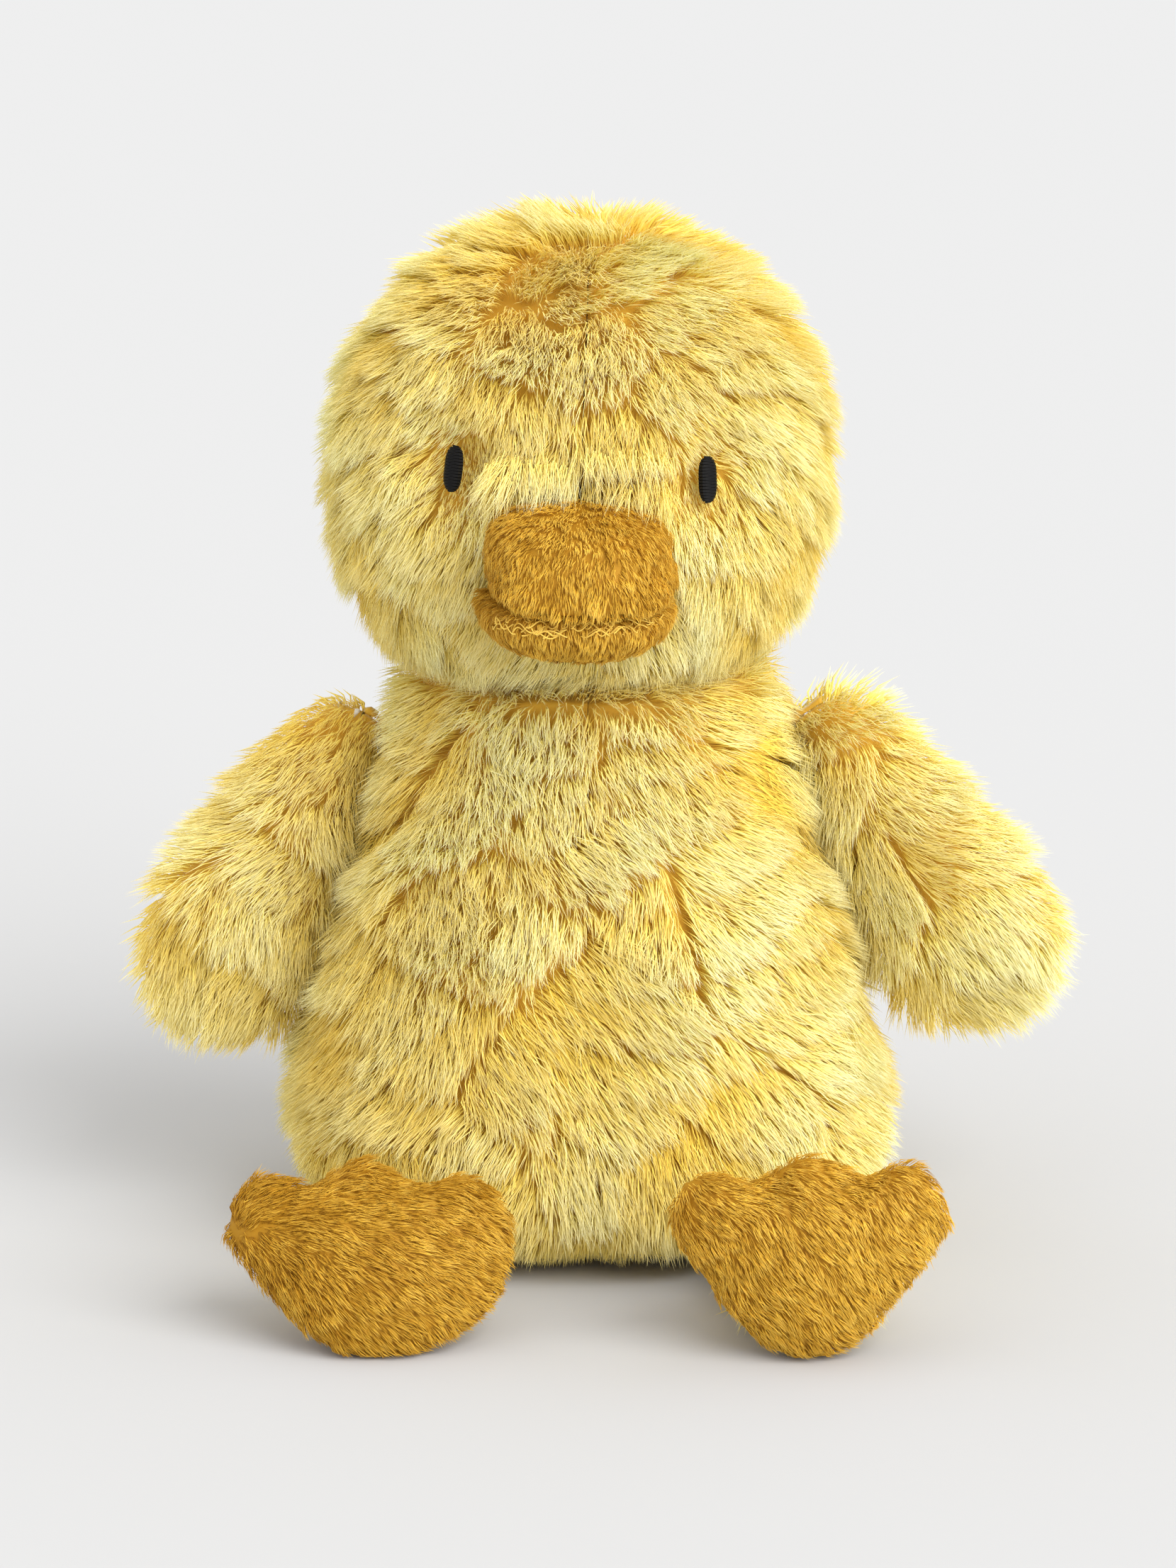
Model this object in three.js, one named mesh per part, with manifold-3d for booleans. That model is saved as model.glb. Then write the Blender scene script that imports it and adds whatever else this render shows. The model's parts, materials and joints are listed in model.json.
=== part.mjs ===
// A sitting plush duckling-like chick, sewn from long-pile cloth panels over stuffing.
// Millimetres, +Z up. The chick faces -Y and its own left side is +X.
// The origin is the centre of the flat seat on the surface that it sits on.
import * as THREE from "three";
import { mergeVertices } from "three/addons/utils/BufferGeometryUtils.js";
import Module from "manifold-3d";

// Cloth and sewing
const FUR_CLOTH = 5; // long-pile cloth: backing and packed pile
const PLUSH_CLOTH = 2.5; // short-pile cloth of the bill and the feet
const SEAM_GAP = 0.3; // clearance between edges and faces that are sewn together
const SEAM_DIP = 1.8; // how far a seam draws the stuffed form in
const SEAM_SPREAD = 9; // degrees to each side over which a seam draws the form in

// Body, measured from its upright axis
const NECK_HEIGHT = 118; // the sewn neck, where the head rests on the body
const HIP_HEIGHT = 22; // where the body is widest
const SEAT_HALF_WIDTH = 48;
const SEAT_FRONT = 42;
const SEAT_BACK = 38;
const HIP_HALF_WIDTH = 62.5;
const HIP_FRONT = 56;
const HIP_BACK = 50;
const NECK_HALF_WIDTH = 37;
const NECK_FRONT = 34;
const NECK_BACK = 32;
const FLANK_BULGE = 1.6; // fullness of the sides between hip and neck
const BELLY_BULGE = 5;
const BACK_BULGE = 3;

// Pellet pouch that weighs the seat down
const POUCH_HALF_WIDTH = 34;
const POUCH_HALF_DEPTH = 29;
const POUCH_HEIGHT = 20;
const POUCH_EDGE = 14; // how far the pouch draws in at its top and bottom

// Head, an egg measured from its own centre
const HEAD_RISE = 37.5; // head centre above the neck
const HEAD_SHIFT = -1.7; // the head sits a little to the chick's right
const HEAD_TILT = 2.5; // degrees, towards the chick's left
const HEAD_HALF_WIDTH = 51;
const HEAD_HALF_DEPTH = 48;
const HEAD_HALF_HEIGHT = 50;
const HEAD_SQUARENESS = 2.2; // 2 is a plain ellipse, more is boxier

// Eyes, satin-stitched ovals at the bottom of a dent in the fur
const EYE_AZIMUTH = 32; // degrees from straight ahead
const EYE_ELEVATION = 7.5; // degrees above the head's centre
const EYE_HALF_WIDTH = 2.3;
const EYE_HALF_HEIGHT = 4.5;
const EYE_HALF_THICKNESS = 1;
const EYE_DENT_HALF_WIDTH = 6.5;
const EYE_DENT_HALF_HEIGHT = 8.5;
const EYE_DENT_DEPTH = 2.2;

// Bill, a stuffed dome over a folded lower lip
const BILL_LENGTH = 26; // how far it stands out of the face
const BILL_MOUTH_DROP = 15; // mouth line below the head's centre
const BILL_ROOT_SINK = 14; // depth behind the face from which the lobes are drawn
const BILL_UPPER_HALF_WIDTH = 18;
const BILL_UPPER_HEIGHT = 18.5;
const BILL_UPPER_WAIST = 6; // widest line of the dome above the mouth
const BILL_LOWER_HALF_WIDTH = 19.5;
const BILL_LOWER_HEIGHT = 12.5;
const BILL_LOWER_WAIST = 5; // widest line of the lip below the mouth
const BILL_LOWER_SETBACK = 2; // the lip ends this much behind the dome's tip
const BILL_SMILE = 2; // how far the mouth line rises to its corners
const BILL_ROUNDNESS = 2.4; // of its sections: 2 is a plain ellipse
const BILL_BLUNTNESS = 3; // of its tip, seen from above and from the side

// Wings, stuffed pads whose inner edges are sewn into the side seams
const SHOULDER_HEIGHT = 112;
const WING_SEAM_LENGTH = 45; // height of the sewn root, which is also the hinge
const WING_LENGTH = 84; // from the shoulder to the tip, along the sewn edge
const WING_BREADTH = 36; // from the sewn edge to the outer edge
const WING_WIDEST = 64; // widest line below the shoulder
const WING_HEART = 50; // fullest spot below the shoulder
const WING_SHOULDER_DROP = 10; // the shoulder's round corner below the top
const WING_SHOULDER_BREADTH = 14.5;
const WING_TIP_SQUARENESS = 2.3;
const WING_HALF_THICKNESS = 12;
const WING_PILLOW = 0.7; // lower is a fuller pad
const WING_SWING = 40; // degrees each way
const WING_SPREAD = { left: 4.5, right: 0.5 }; // degrees that the wing leaves its seam

// Legs, short stuffed stubs that are sewn into the seat's seam
const LEG_SPREAD = 38; // from the middle to the leg's root
const LEG_FOOT_SINK = 6; // the leg ends this far behind the foot's heel line, inside the foot
const LEG_ROOT_SINK = 5; // length behind the seam that the body cuts away
const LEG_HALF_WIDTH = 14;
const LEG_ROOT_HEIGHT = 13;
const LEG_FOOT_HEIGHT = 20;
const LEG_FLOOR_GAP = 0.6; // fur held clear of the floor
const LEG_RAISE = 25; // degrees

// Feet, webbed pillows that stand on their heels with the soles to the front
const FOOT_FORWARD = 56; // heel in front of the leg's root
const FOOT_OUTWARD = 4; // heel further out than the leg's root
const FOOT_LENGTH = 40.5;
const FOOT_HALF_WIDTH = 27.5;
const FOOT_WIDEST = 28; // height of the widest line above the heel
const FOOT_HALF_THICKNESS = 10;
const HEEL_HALF_WIDTH = 8;
const HEEL_RISE = 2.3;
const TOE_SPREAD = 21.5; // outer toes to each side of the middle one
const TOE_DROP = 4; // outer toes below the middle one
const WEB_SPREAD = 11.5;
const WEB_DEPTH = 6; // webs below the middle toe
const FOOT_PILLOW = 0.6; // lower is a fuller pillow
const FOOT_FLOOR_GAP = 0.2;
const FOOT_LEAN = { left: 10, right: 34 }; // degrees that the toes lean back
const FOOT_ROLL = { left: 0, right: -3 }; // degrees about the view from the front

// Facets of the faces that show, and of the faces inside the cloth. Scales are the rings of a
// stuffed pad between its heart and its seam.
const SHOWN = {
  sides: 32,
  hipRings: 4,
  flankRings: 7,
  headRings: 12,
  wingSides: 28,
  footSides: 34,
  scales: [0.35, 0.65, 0.88],
};
const INSIDE = {
  sides: 20,
  hipRings: 2,
  flankRings: 4,
  headRings: 7,
  wingSides: 16,
  footSides: 20,
  scales: [0.55],
};
const PAD_SOFTENING = 3; // neighbours to each side that calm a pad's inner rings
const WING_TIP_STEPS = 4;
const POUCH_RINGS = 3;
const BILL_SIDES = 20;
const BILL_RINGS = 6;
const LEG_SIDES = 14;
const LEG_RINGS = 2;
const EYE_SIDES = 12;
const SWING_STEPS = 2;

const PANEL_REACH = 400; // half-size of the blocks that part the panels

const wasm = await Module();
wasm.setup();

// Materials
const material = (color, roughness) => new THREE.MeshStandardMaterial({ color, roughness, metalness: 0 });
const furCloth = material("#f1db7c", 0.95);
const plushCloth = material("#c8922b", 0.9);
const eyeThread = material("#15120f", 0.45);
const fibreFill = material("#f3efe6", 1);
const pouchCotton = material("#e6dcc4", 0.95);

const radians = THREE.MathUtils.degToRad;
const mix = THREE.MathUtils.lerp;

// A closed form through rings of points with the same count, closed at each end by a point.
function loft(rings, startPoint, endPoint) {
  const count = rings[0].length;
  const points = [...rings.flat(), startPoint, endPoint];
  const start = points.length - 2;
  const end = points.length - 1;
  const last = (rings.length - 1) * count;
  const faces = [];
  for (let side = 0; side < count; side++) {
    const next = (side + 1) % count;
    for (let ring = 0; ring < last; ring += count) {
      faces.push([ring + side, ring + next, ring + count + next]);
      faces.push([ring + side, ring + count + next, ring + count + side]);
    }
    faces.push([start, next, side]);
    faces.push([end, last + side, last + next]);
  }
  const volume = faces.reduce(
    (sum, [a, b, c]) => sum + points[a].dot(new THREE.Vector3().crossVectors(points[b], points[c])),
    0,
  );
  const outward = volume < 0 ? faces.map(([a, b, c]) => [a, c, b]) : faces;
  return new THREE.BufferGeometry().setFromPoints(points).setIndex(outward.flat());
}

function middle(ring) {
  const sum = new THREE.Vector3();
  ring.forEach((point) => sum.add(point));
  return sum.divideScalar(ring.length);
}

function flatEnds(rings) {
  return loft(rings, middle(rings[0]), middle(rings[rings.length - 1]));
}

function around(sides, pointAt) {
  return Array.from({ length: sides }, (unused, side) => pointAt((2 * Math.PI * side) / sides));
}

function steps(count, valueAt) {
  return Array.from({ length: count + 1 }, (unused, step) => valueAt(step / count));
}

// A power that keeps the sign, for sections squarer or sharper than an ellipse.
function signedPower(value, power) {
  return Math.sign(value) * Math.abs(value) ** power;
}

// A geometry as a solid, moved by a matrix first.
function solid(geometry, matrix = new THREE.Matrix4()) {
  const bare = geometry.clone().applyMatrix4(matrix);
  bare.deleteAttribute("normal");
  bare.deleteAttribute("uv");
  const merged = mergeVertices(bare, 1e-5);
  return new wasm.Manifold(
    new wasm.Mesh({
      numProp: 3,
      vertProperties: new Float32Array(merged.attributes.position.array),
      triVerts: new Uint32Array(merged.index.array),
    }),
  );
}

function block(low, high, matrix) {
  const size = new THREE.Vector3().subVectors(high, low);
  const centre = new THREE.Vector3().addVectors(low, high).multiplyScalar(0.5);
  return solid(new THREE.BoxGeometry(size.x, size.y, size.z).translate(centre.x, centre.y, centre.z), matrix);
}

// The half of space on the positive side of one axis past a level, or on the negative side.
function half(axis, sign, level, matrix) {
  const low = new THREE.Vector3().setScalar(-PANEL_REACH);
  const high = new THREE.Vector3().setScalar(PANEL_REACH);
  if (sign > 0) low[axis] = level;
  else high[axis] = level;
  return block(low, high, matrix);
}

function addPiece(group, name, piece, finish) {
  const mesh = piece.getMesh();
  const positions = new Float32Array(mesh.numVert * 3);
  for (let vertex = 0; vertex < mesh.numVert; vertex++) {
    const from = vertex * mesh.numProp;
    positions.set(mesh.vertProperties.subarray(from, from + 3), vertex * 3);
  }
  const geometry = new THREE.BufferGeometry()
    .setAttribute("position", new THREE.BufferAttribute(positions, 3))
    .setIndex(new THREE.BufferAttribute(mesh.triVerts, 1));
  geometry.computeVertexNormals();
  const made = new THREE.Mesh(geometry, finish);
  made.name = name;
  group.add(made);
}

// How far a seam draws in a form that is sewn from four quarters.
function quarterSeamDip(angle) {
  const quarter = Math.PI / 2;
  const away = angle - Math.round(angle / quarter) * quarter;
  return SEAM_DIP * Math.exp(-((away / radians(SEAM_SPREAD)) ** 2));
}

// Body
function bodyReach(height) {
  if (height < HIP_HEIGHT) {
    const rise = Math.sqrt(1 - ((HIP_HEIGHT - height) / HIP_HEIGHT) ** 2);
    return {
      side: mix(SEAT_HALF_WIDTH, HIP_HALF_WIDTH, rise),
      front: mix(SEAT_FRONT, HIP_FRONT, rise),
      back: mix(SEAT_BACK, HIP_BACK, rise),
    };
  }
  const up = Math.min(1, (height - HIP_HEIGHT) / (NECK_HEIGHT - HIP_HEIGHT));
  const swell = Math.sin(Math.PI * up);
  return {
    side: mix(HIP_HALF_WIDTH, NECK_HALF_WIDTH, up) + FLANK_BULGE * swell,
    front: mix(HIP_FRONT, NECK_FRONT, up) + BELLY_BULGE * swell,
    back: mix(HIP_BACK, NECK_BACK, up) + BACK_BULGE * swell,
  };
}

function bodyRing(height, inset, dips, sides) {
  const reach = bodyReach(height);
  return around(sides, (angle) => {
    const depth = Math.sin(angle) < 0 ? reach.front : reach.back;
    const drawn = inset + (dips ? quarterSeamDip(angle) : 0);
    return new THREE.Vector3((reach.side - drawn) * Math.cos(angle), (depth - drawn) * Math.sin(angle), height);
  });
}

// The body from one height to another, drawn in by an inset, with or without its seams.
function bodyForm(low, high, inset, dips, facets) {
  const toHip = (share) => mix(HIP_HEIGHT, low, Math.cos((share * Math.PI) / 2));
  const toNeck = (share) => mix(HIP_HEIGHT, high, share);
  const heights = [...steps(facets.hipRings, toHip), ...steps(facets.flankRings, toNeck).slice(1)];
  return flatEnds(heights.map((height) => bodyRing(height, inset, dips, facets.sides)));
}

function bodyInside(inset) {
  return solid(bodyForm(FUR_CLOTH, NECK_HEIGHT + SEAM_GAP, inset, false, INSIDE));
}

function bodyFrontAt(height, across) {
  const reach = bodyReach(height);
  return reach.front * Math.sqrt(1 - (across / reach.side) ** 2);
}

// A shell parted into front and back, left and right quarters along its seams.
function addQuarters(group, shell, names, finish) {
  for (const [front, sign] of [["front", -1], ["back", 1]]) {
    for (const [side, direction] of [["left", 1], ["right", -1]]) {
      const quarter = shell
        .intersect(half("x", direction, (direction * SEAM_GAP) / 2))
        .intersect(half("y", sign, (sign * SEAM_GAP) / 2));
      addPiece(group, names[front][side], quarter, finish);
    }
  }
}

function pouchForm(grow) {
  const base = FUR_CLOTH + SEAM_GAP - grow;
  const rings = steps(POUCH_RINGS, (share) => {
    const drawn = POUCH_EDGE * (2 * share - 1) ** 4 - grow;
    const height = base + (POUCH_HEIGHT + 2 * grow) * share;
    return around(INSIDE.sides, (angle) => {
      const across = (POUCH_HALF_WIDTH - drawn) * Math.cos(angle);
      return new THREE.Vector3(across, (POUCH_HALF_DEPTH - drawn) * Math.sin(angle), height);
    });
  });
  return flatEnds(rings);
}

function makeBody() {
  const group = new THREE.Group();
  const outside = solid(bodyForm(0, NECK_HEIGHT, 0, true, SHOWN));
  const shell = outside.subtract(bodyInside(FUR_CLOTH)).intersect(half("z", 1, FUR_CLOTH + SEAM_GAP));
  addQuarters(
    group,
    shell,
    {
      front: { left: "body_front_left", right: "body_front_right" },
      back: { left: "body_back_left", right: "body_back_right" },
    },
    furCloth,
  );
  addPiece(group, "seat_panel", outside.intersect(half("z", -1, FUR_CLOTH)), furCloth);
  const fill = bodyInside(FUR_CLOTH + SEAM_GAP)
    .intersect(half("z", 1, FUR_CLOTH + SEAM_GAP))
    .intersect(half("z", -1, NECK_HEIGHT - SEAM_GAP))
    .subtract(solid(pouchForm(SEAM_GAP)));
  addPiece(group, "body_stuffing", fill, fibreFill);
  addPiece(group, "pellet_pouch", solid(pouchForm(0)), pouchCotton);
  return group;
}

// Head
function headForm(inset, dips, facets) {
  const halfWidth = HEAD_HALF_WIDTH - inset;
  const halfDepth = HEAD_HALF_DEPTH - inset;
  const halfHeight = HEAD_HALF_HEIGHT - inset;
  const power = 2 / HEAD_SQUARENESS;
  const rings = [];
  for (let ring = 1; ring < facets.headRings; ring++) {
    const latitude = Math.PI * (ring / facets.headRings - 0.5);
    const spread = Math.cos(latitude) ** power;
    const height = halfHeight * signedPower(Math.sin(latitude), power);
    rings.push(
      around(facets.sides, (angle) => {
        const drawn = dips ? quarterSeamDip(angle) : 0;
        return new THREE.Vector3(
          (halfWidth - drawn) * spread * Math.cos(angle),
          (halfDepth - drawn) * spread * Math.sin(angle),
          height,
        );
      }),
    );
  }
  return loft(rings, new THREE.Vector3(0, 0, -halfHeight), new THREE.Vector3(0, 0, halfHeight));
}

// The point of the head's surface in a direction from its centre.
function headSurface(direction) {
  const flat = Math.hypot(direction.x / HEAD_HALF_WIDTH, direction.y / HEAD_HALF_DEPTH);
  const tall = Math.abs(direction.z) / HEAD_HALF_HEIGHT;
  const reach = (flat ** HEAD_SQUARENESS + tall ** HEAD_SQUARENESS) ** (-1 / HEAD_SQUARENESS);
  return direction.clone().multiplyScalar(reach);
}

// The place of an eye: its own x across, y up and z out of the face.
function eyePlace(side) {
  const azimuth = radians(EYE_AZIMUTH);
  const elevation = radians(EYE_ELEVATION);
  const outward = new THREE.Vector3(
    side * Math.sin(azimuth) * Math.cos(elevation),
    -Math.cos(azimuth) * Math.cos(elevation),
    Math.sin(elevation),
  );
  const up = new THREE.Vector3(0, 0, 1).addScaledVector(outward, -outward.z).normalize();
  const across = new THREE.Vector3().crossVectors(up, outward);
  return new THREE.Matrix4().makeBasis(across, up, outward).setPosition(headSurface(outward));
}

function ellipsoid(halfWidth, halfHeight, halfDepth, place, depth) {
  const shape = new THREE.SphereGeometry(1, EYE_SIDES, EYE_SIDES / 2);
  shape.scale(halfWidth, halfHeight, halfDepth).translate(0, 0, -depth);
  return solid(shape, place);
}

function eyePad(side, grow) {
  return ellipsoid(
    EYE_HALF_WIDTH + grow,
    EYE_HALF_HEIGHT + grow,
    EYE_HALF_THICKNESS + grow,
    eyePlace(side),
    EYE_DENT_DEPTH,
  );
}

function eyeDent(side) {
  return ellipsoid(EYE_DENT_HALF_WIDTH, EYE_DENT_HALF_HEIGHT, EYE_DENT_DEPTH, eyePlace(side), 0);
}

// One lobe of the bill, from behind the face to its rounded tip. The side of the lobe at the
// mouth stays on the mouth line, which curves up to its corners. Upward is 1 for the dome and
// -1 for the lip.
function billLobe({ upward, halfWidth, height, waist, length, inset }) {
  const root = -HEAD_HALF_DEPTH + BILL_ROOT_SINK;
  const reach = length + BILL_ROOT_SINK - inset;
  const power = 2 / BILL_ROUNDNESS;
  const clear = SEAM_GAP / 2 + inset;
  const shares = steps(BILL_RINGS, (share) => Math.sin((share * Math.PI) / 2)).slice(0, -1);
  const rings = shares.map((share) => {
    const taper = (1 - share ** BILL_BLUNTNESS) ** (1 / BILL_BLUNTNESS);
    return around(BILL_SIDES, (angle) => {
      const tall = (Math.sin(angle) > 0 ? height - waist : waist) - inset;
      const across = (halfWidth - inset) * taper * signedPower(Math.cos(angle), power);
      const fromMouth = clear + taper * (waist - inset + tall * signedPower(Math.sin(angle), power));
      const smile = BILL_SMILE * (across / BILL_LOWER_HALF_WIDTH) ** 2;
      return new THREE.Vector3(across, root - reach * share, smile - BILL_MOUTH_DROP + upward * fromMouth);
    });
  });
  const tip = new THREE.Vector3(0, root - reach, upward * clear - BILL_MOUTH_DROP);
  return solid(loft(rings, middle(rings[0]), tip));
}

function billUpper(inset) {
  return billLobe({
    upward: 1,
    halfWidth: BILL_UPPER_HALF_WIDTH,
    height: BILL_UPPER_HEIGHT,
    waist: BILL_UPPER_WAIST,
    length: BILL_LENGTH,
    inset,
  });
}

function billLower() {
  return billLobe({
    upward: -1,
    halfWidth: BILL_LOWER_HALF_WIDTH,
    height: BILL_LOWER_HEIGHT,
    waist: BILL_LOWER_WAIST,
    length: BILL_LENGTH - BILL_LOWER_SETBACK,
    inset: 0,
  });
}

function makeHead() {
  const group = new THREE.Group();
  group.position.set(HEAD_SHIFT, 0, NECK_HEIGHT + HEAD_RISE);
  group.rotation.y = radians(HEAD_TILT);
  group.updateMatrixWorld(true);
  const intoHead = group.matrixWorld.clone().invert();
  const belowNeck = (gap) => half("z", -1, NECK_HEIGHT + gap, intoHead);
  const clearOfFace = solid(headForm(-SEAM_GAP, true, SHOWN));
  let shell = solid(headForm(0, true, SHOWN))
    .subtract(solid(headForm(FUR_CLOTH, false, INSIDE)))
    .subtract(belowNeck(SEAM_GAP));
  for (const [side, direction] of [["left", 1], ["right", -1]]) {
    shell = shell.subtract(eyeDent(direction)).subtract(eyePad(direction, SEAM_GAP));
    addPiece(group, "eye_" + side, eyePad(direction, 0), eyeThread);
  }
  addQuarters(
    group,
    shell,
    {
      front: { left: "face_left", right: "face_right" },
      back: { left: "head_back_left", right: "head_back_right" },
    },
    furCloth,
  );
  const fill = solid(headForm(FUR_CLOTH + SEAM_GAP, false, INSIDE)).subtract(belowNeck(2 * SEAM_GAP));
  addPiece(group, "head_stuffing", fill, fibreFill);
  const dome = billUpper(0).subtract(billUpper(PLUSH_CLOTH)).subtract(clearOfFace);
  addPiece(group, "bill_upper", dome, plushCloth);
  const domeFill = billUpper(PLUSH_CLOTH + SEAM_GAP).subtract(clearOfFace);
  addPiece(group, "bill_stuffing", domeFill, fibreFill);
  addPiece(group, "bill_lower", billLower().subtract(clearOfFace), plushCloth);
  return group;
}

// A limb cut clear of the body over its whole swing. The hinge is a point and a direction in
// the chick's own frame, and the limb is in the frame of its group.
function clearOfBody(limb, group, hinge, angles, clearance) {
  const intoLimb = group.matrixWorld.clone().invert();
  const body = bodyForm(0, NECK_HEIGHT, -clearance, true, SHOWN);
  const toHinge = new THREE.Matrix4().makeTranslation(hinge.point);
  const fromHinge = toHinge.clone().invert();
  return angles.reduce((cleared, angle) => {
    const turn = new THREE.Matrix4().makeRotationAxis(hinge.direction, -radians(angle));
    const place = intoLimb.clone().multiply(toHinge).multiply(turn).multiply(fromHinge);
    return cleared.subtract(solid(body, place));
  }, limb);
}

// A stuffed pad in the plane of its own X and Z, fullest at its heart and flat at its seam. Its
// rings lose the outline's notches towards the heart.
function padForm({ outline, heart, halfThickness, pillow, inset, scales }) {
  const edge = outline.map((point) => {
    const out = point.clone().sub(heart);
    return out.setLength(out.length() - inset);
  });
  const around = [...edge, ...edge, ...edge];
  const calm = edge.map((unused, index) => {
    const here = index + edge.length;
    return middle(around.slice(here - PAD_SOFTENING, here + PAD_SOFTENING + 1));
  });
  const thickness = halfThickness - inset;
  const ring = (scale, face) =>
    edge.map((out, index) => {
      const point = calm[index].clone().lerp(out, scale ** 2).multiplyScalar(scale).add(heart);
      point.y = face * thickness * (1 - scale * scale) ** pillow;
      return point;
    });
  const front = scales.map((scale) => ring(scale, -1));
  const back = scales.map((scale) => ring(scale, 1)).reverse();
  const frontMiddle = new THREE.Vector3(heart.x, -thickness, heart.z);
  const backMiddle = new THREE.Vector3(heart.x, thickness, heart.z);
  return loft([...front, ring(1, 0), ...back], frontMiddle, backMiddle);
}

// A smooth closed outline through points of a pad's plane.
function padOutline(points, sides) {
  const corners = points.map(([across, up]) => new THREE.Vector3(across, 0, up));
  return new THREE.CatmullRomCurve3(corners, true).getSpacedPoints(sides).slice(0, -1);
}

// Wings
function wingHinge(direction) {
  const lower = SHOULDER_HEIGHT - WING_SEAM_LENGTH;
  const seamAt = (height) => new THREE.Vector3(direction * (bodyReach(height).side - SEAM_DIP), 0, height);
  const point = seamAt(SHOULDER_HEIGHT);
  return { point, direction: seamAt(lower).sub(point).normalize() };
}

// The wing hangs along -Z from its shoulder, and its sewn edge lies along its own Z.
function wingForm(direction, inset, facets) {
  const power = 2 / WING_TIP_SQUARENESS;
  const tip = steps(WING_TIP_STEPS, (share) => {
    const angle = Math.PI * share;
    const out = (WING_BREADTH * (1 + signedPower(Math.cos(angle), power))) / 2;
    return [out, WING_WIDEST + (WING_LENGTH - WING_WIDEST) * Math.max(0, Math.sin(angle)) ** power];
  });
  const points = [
    [WING_SHOULDER_BREADTH / 4, 0],
    [WING_SHOULDER_BREADTH, WING_SHOULDER_DROP],
    ...tip,
    [0, WING_WIDEST / 2],
    [0, WING_SHOULDER_DROP],
  ];
  return padForm({
    outline: padOutline(
      points.map(([out, down]) => [direction * out, -down]),
      facets.wingSides,
    ),
    heart: new THREE.Vector3((direction * WING_BREADTH) / 2, 0, -WING_HEART),
    halfThickness: WING_HALF_THICKNESS,
    pillow: WING_PILLOW,
    inset,
    scales: facets.scales,
  });
}

function makeWing(side, direction) {
  const group = new THREE.Group();
  const hinge = wingHinge(direction);
  const slope = Math.atan2(direction * hinge.direction.x, -hinge.direction.z);
  group.position.copy(hinge.point);
  group.rotation.y = -direction * (slope + radians(WING_SPREAD[side]));
  group.updateMatrixWorld(true);
  const angles = steps(SWING_STEPS, (share) => mix(-WING_SWING, WING_SWING, share));
  const cut = (inset, clearance, facets) =>
    clearOfBody(solid(wingForm(direction, inset, facets)), group, hinge, angles, clearance);
  const rootWall = FUR_CLOTH / 2;
  const shell = cut(0, SEAM_GAP, SHOWN).subtract(cut(FUR_CLOTH, rootWall, INSIDE));
  addPiece(group, `wing_${side}_front`, shell.intersect(half("y", -1, -SEAM_GAP / 2)), furCloth);
  addPiece(group, `wing_${side}_back`, shell.intersect(half("y", 1, SEAM_GAP / 2)), furCloth);
  const fill = cut(FUR_CLOTH + SEAM_GAP, rootWall + SEAM_GAP, INSIDE);
  addPiece(group, `wing_${side}_stuffing`, fill, fibreFill);
  return group;
}

// Legs and feet
function legForm(direction, inset) {
  const shares = steps(LEG_RINGS, (share) => share);
  const rings = shares.map((share) => {
    const tall = mix(LEG_ROOT_HEIGHT, LEG_FOOT_HEIGHT, share) / 2;
    return around(LEG_SIDES, (angle) =>
      new THREE.Vector3(
        direction * FOOT_OUTWARD * share + (LEG_HALF_WIDTH - inset) * Math.cos(angle),
        mix(LEG_ROOT_SINK, LEG_FOOT_SINK - FOOT_FORWARD, share),
        LEG_FLOOR_GAP - FUR_CLOTH + tall + (tall - inset) * Math.sin(angle),
      ),
    );
  });
  return flatEnds(rings);
}

// The outline of the left foot in its own X and Z, up from the heel: three toes and two webs.
function footOutline(direction, sides) {
  const toeHeight = FOOT_LENGTH - TOE_DROP;
  const webHeight = FOOT_LENGTH - WEB_DEPTH;
  const flankHeight = (HEEL_RISE + FOOT_WIDEST) / 2;
  const flank = (HEEL_HALF_WIDTH + FOOT_HALF_WIDTH) / 2;
  const outer = [
    [HEEL_HALF_WIDTH, HEEL_RISE],
    [flank + HEEL_RISE, flankHeight],
    [FOOT_HALF_WIDTH, FOOT_WIDEST],
    [TOE_SPREAD, toeHeight],
    [WEB_SPREAD, webHeight],
  ];
  const inner = outer.map(([across, up]) => [-across, up]).reverse();
  const points = [[0, 0], ...outer, [0, FOOT_LENGTH], ...inner];
  return padOutline(
    points.map(([across, up]) => [direction * across, up]),
    sides,
  );
}

function footForm(direction, inset, facets) {
  return padForm({
    outline: footOutline(direction, facets.footSides),
    heart: new THREE.Vector3(0, 0, FOOT_LENGTH / 2),
    halfThickness: FOOT_HALF_THICKNESS,
    pillow: FOOT_PILLOW,
    inset,
    scales: facets.scales,
  });
}

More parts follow.
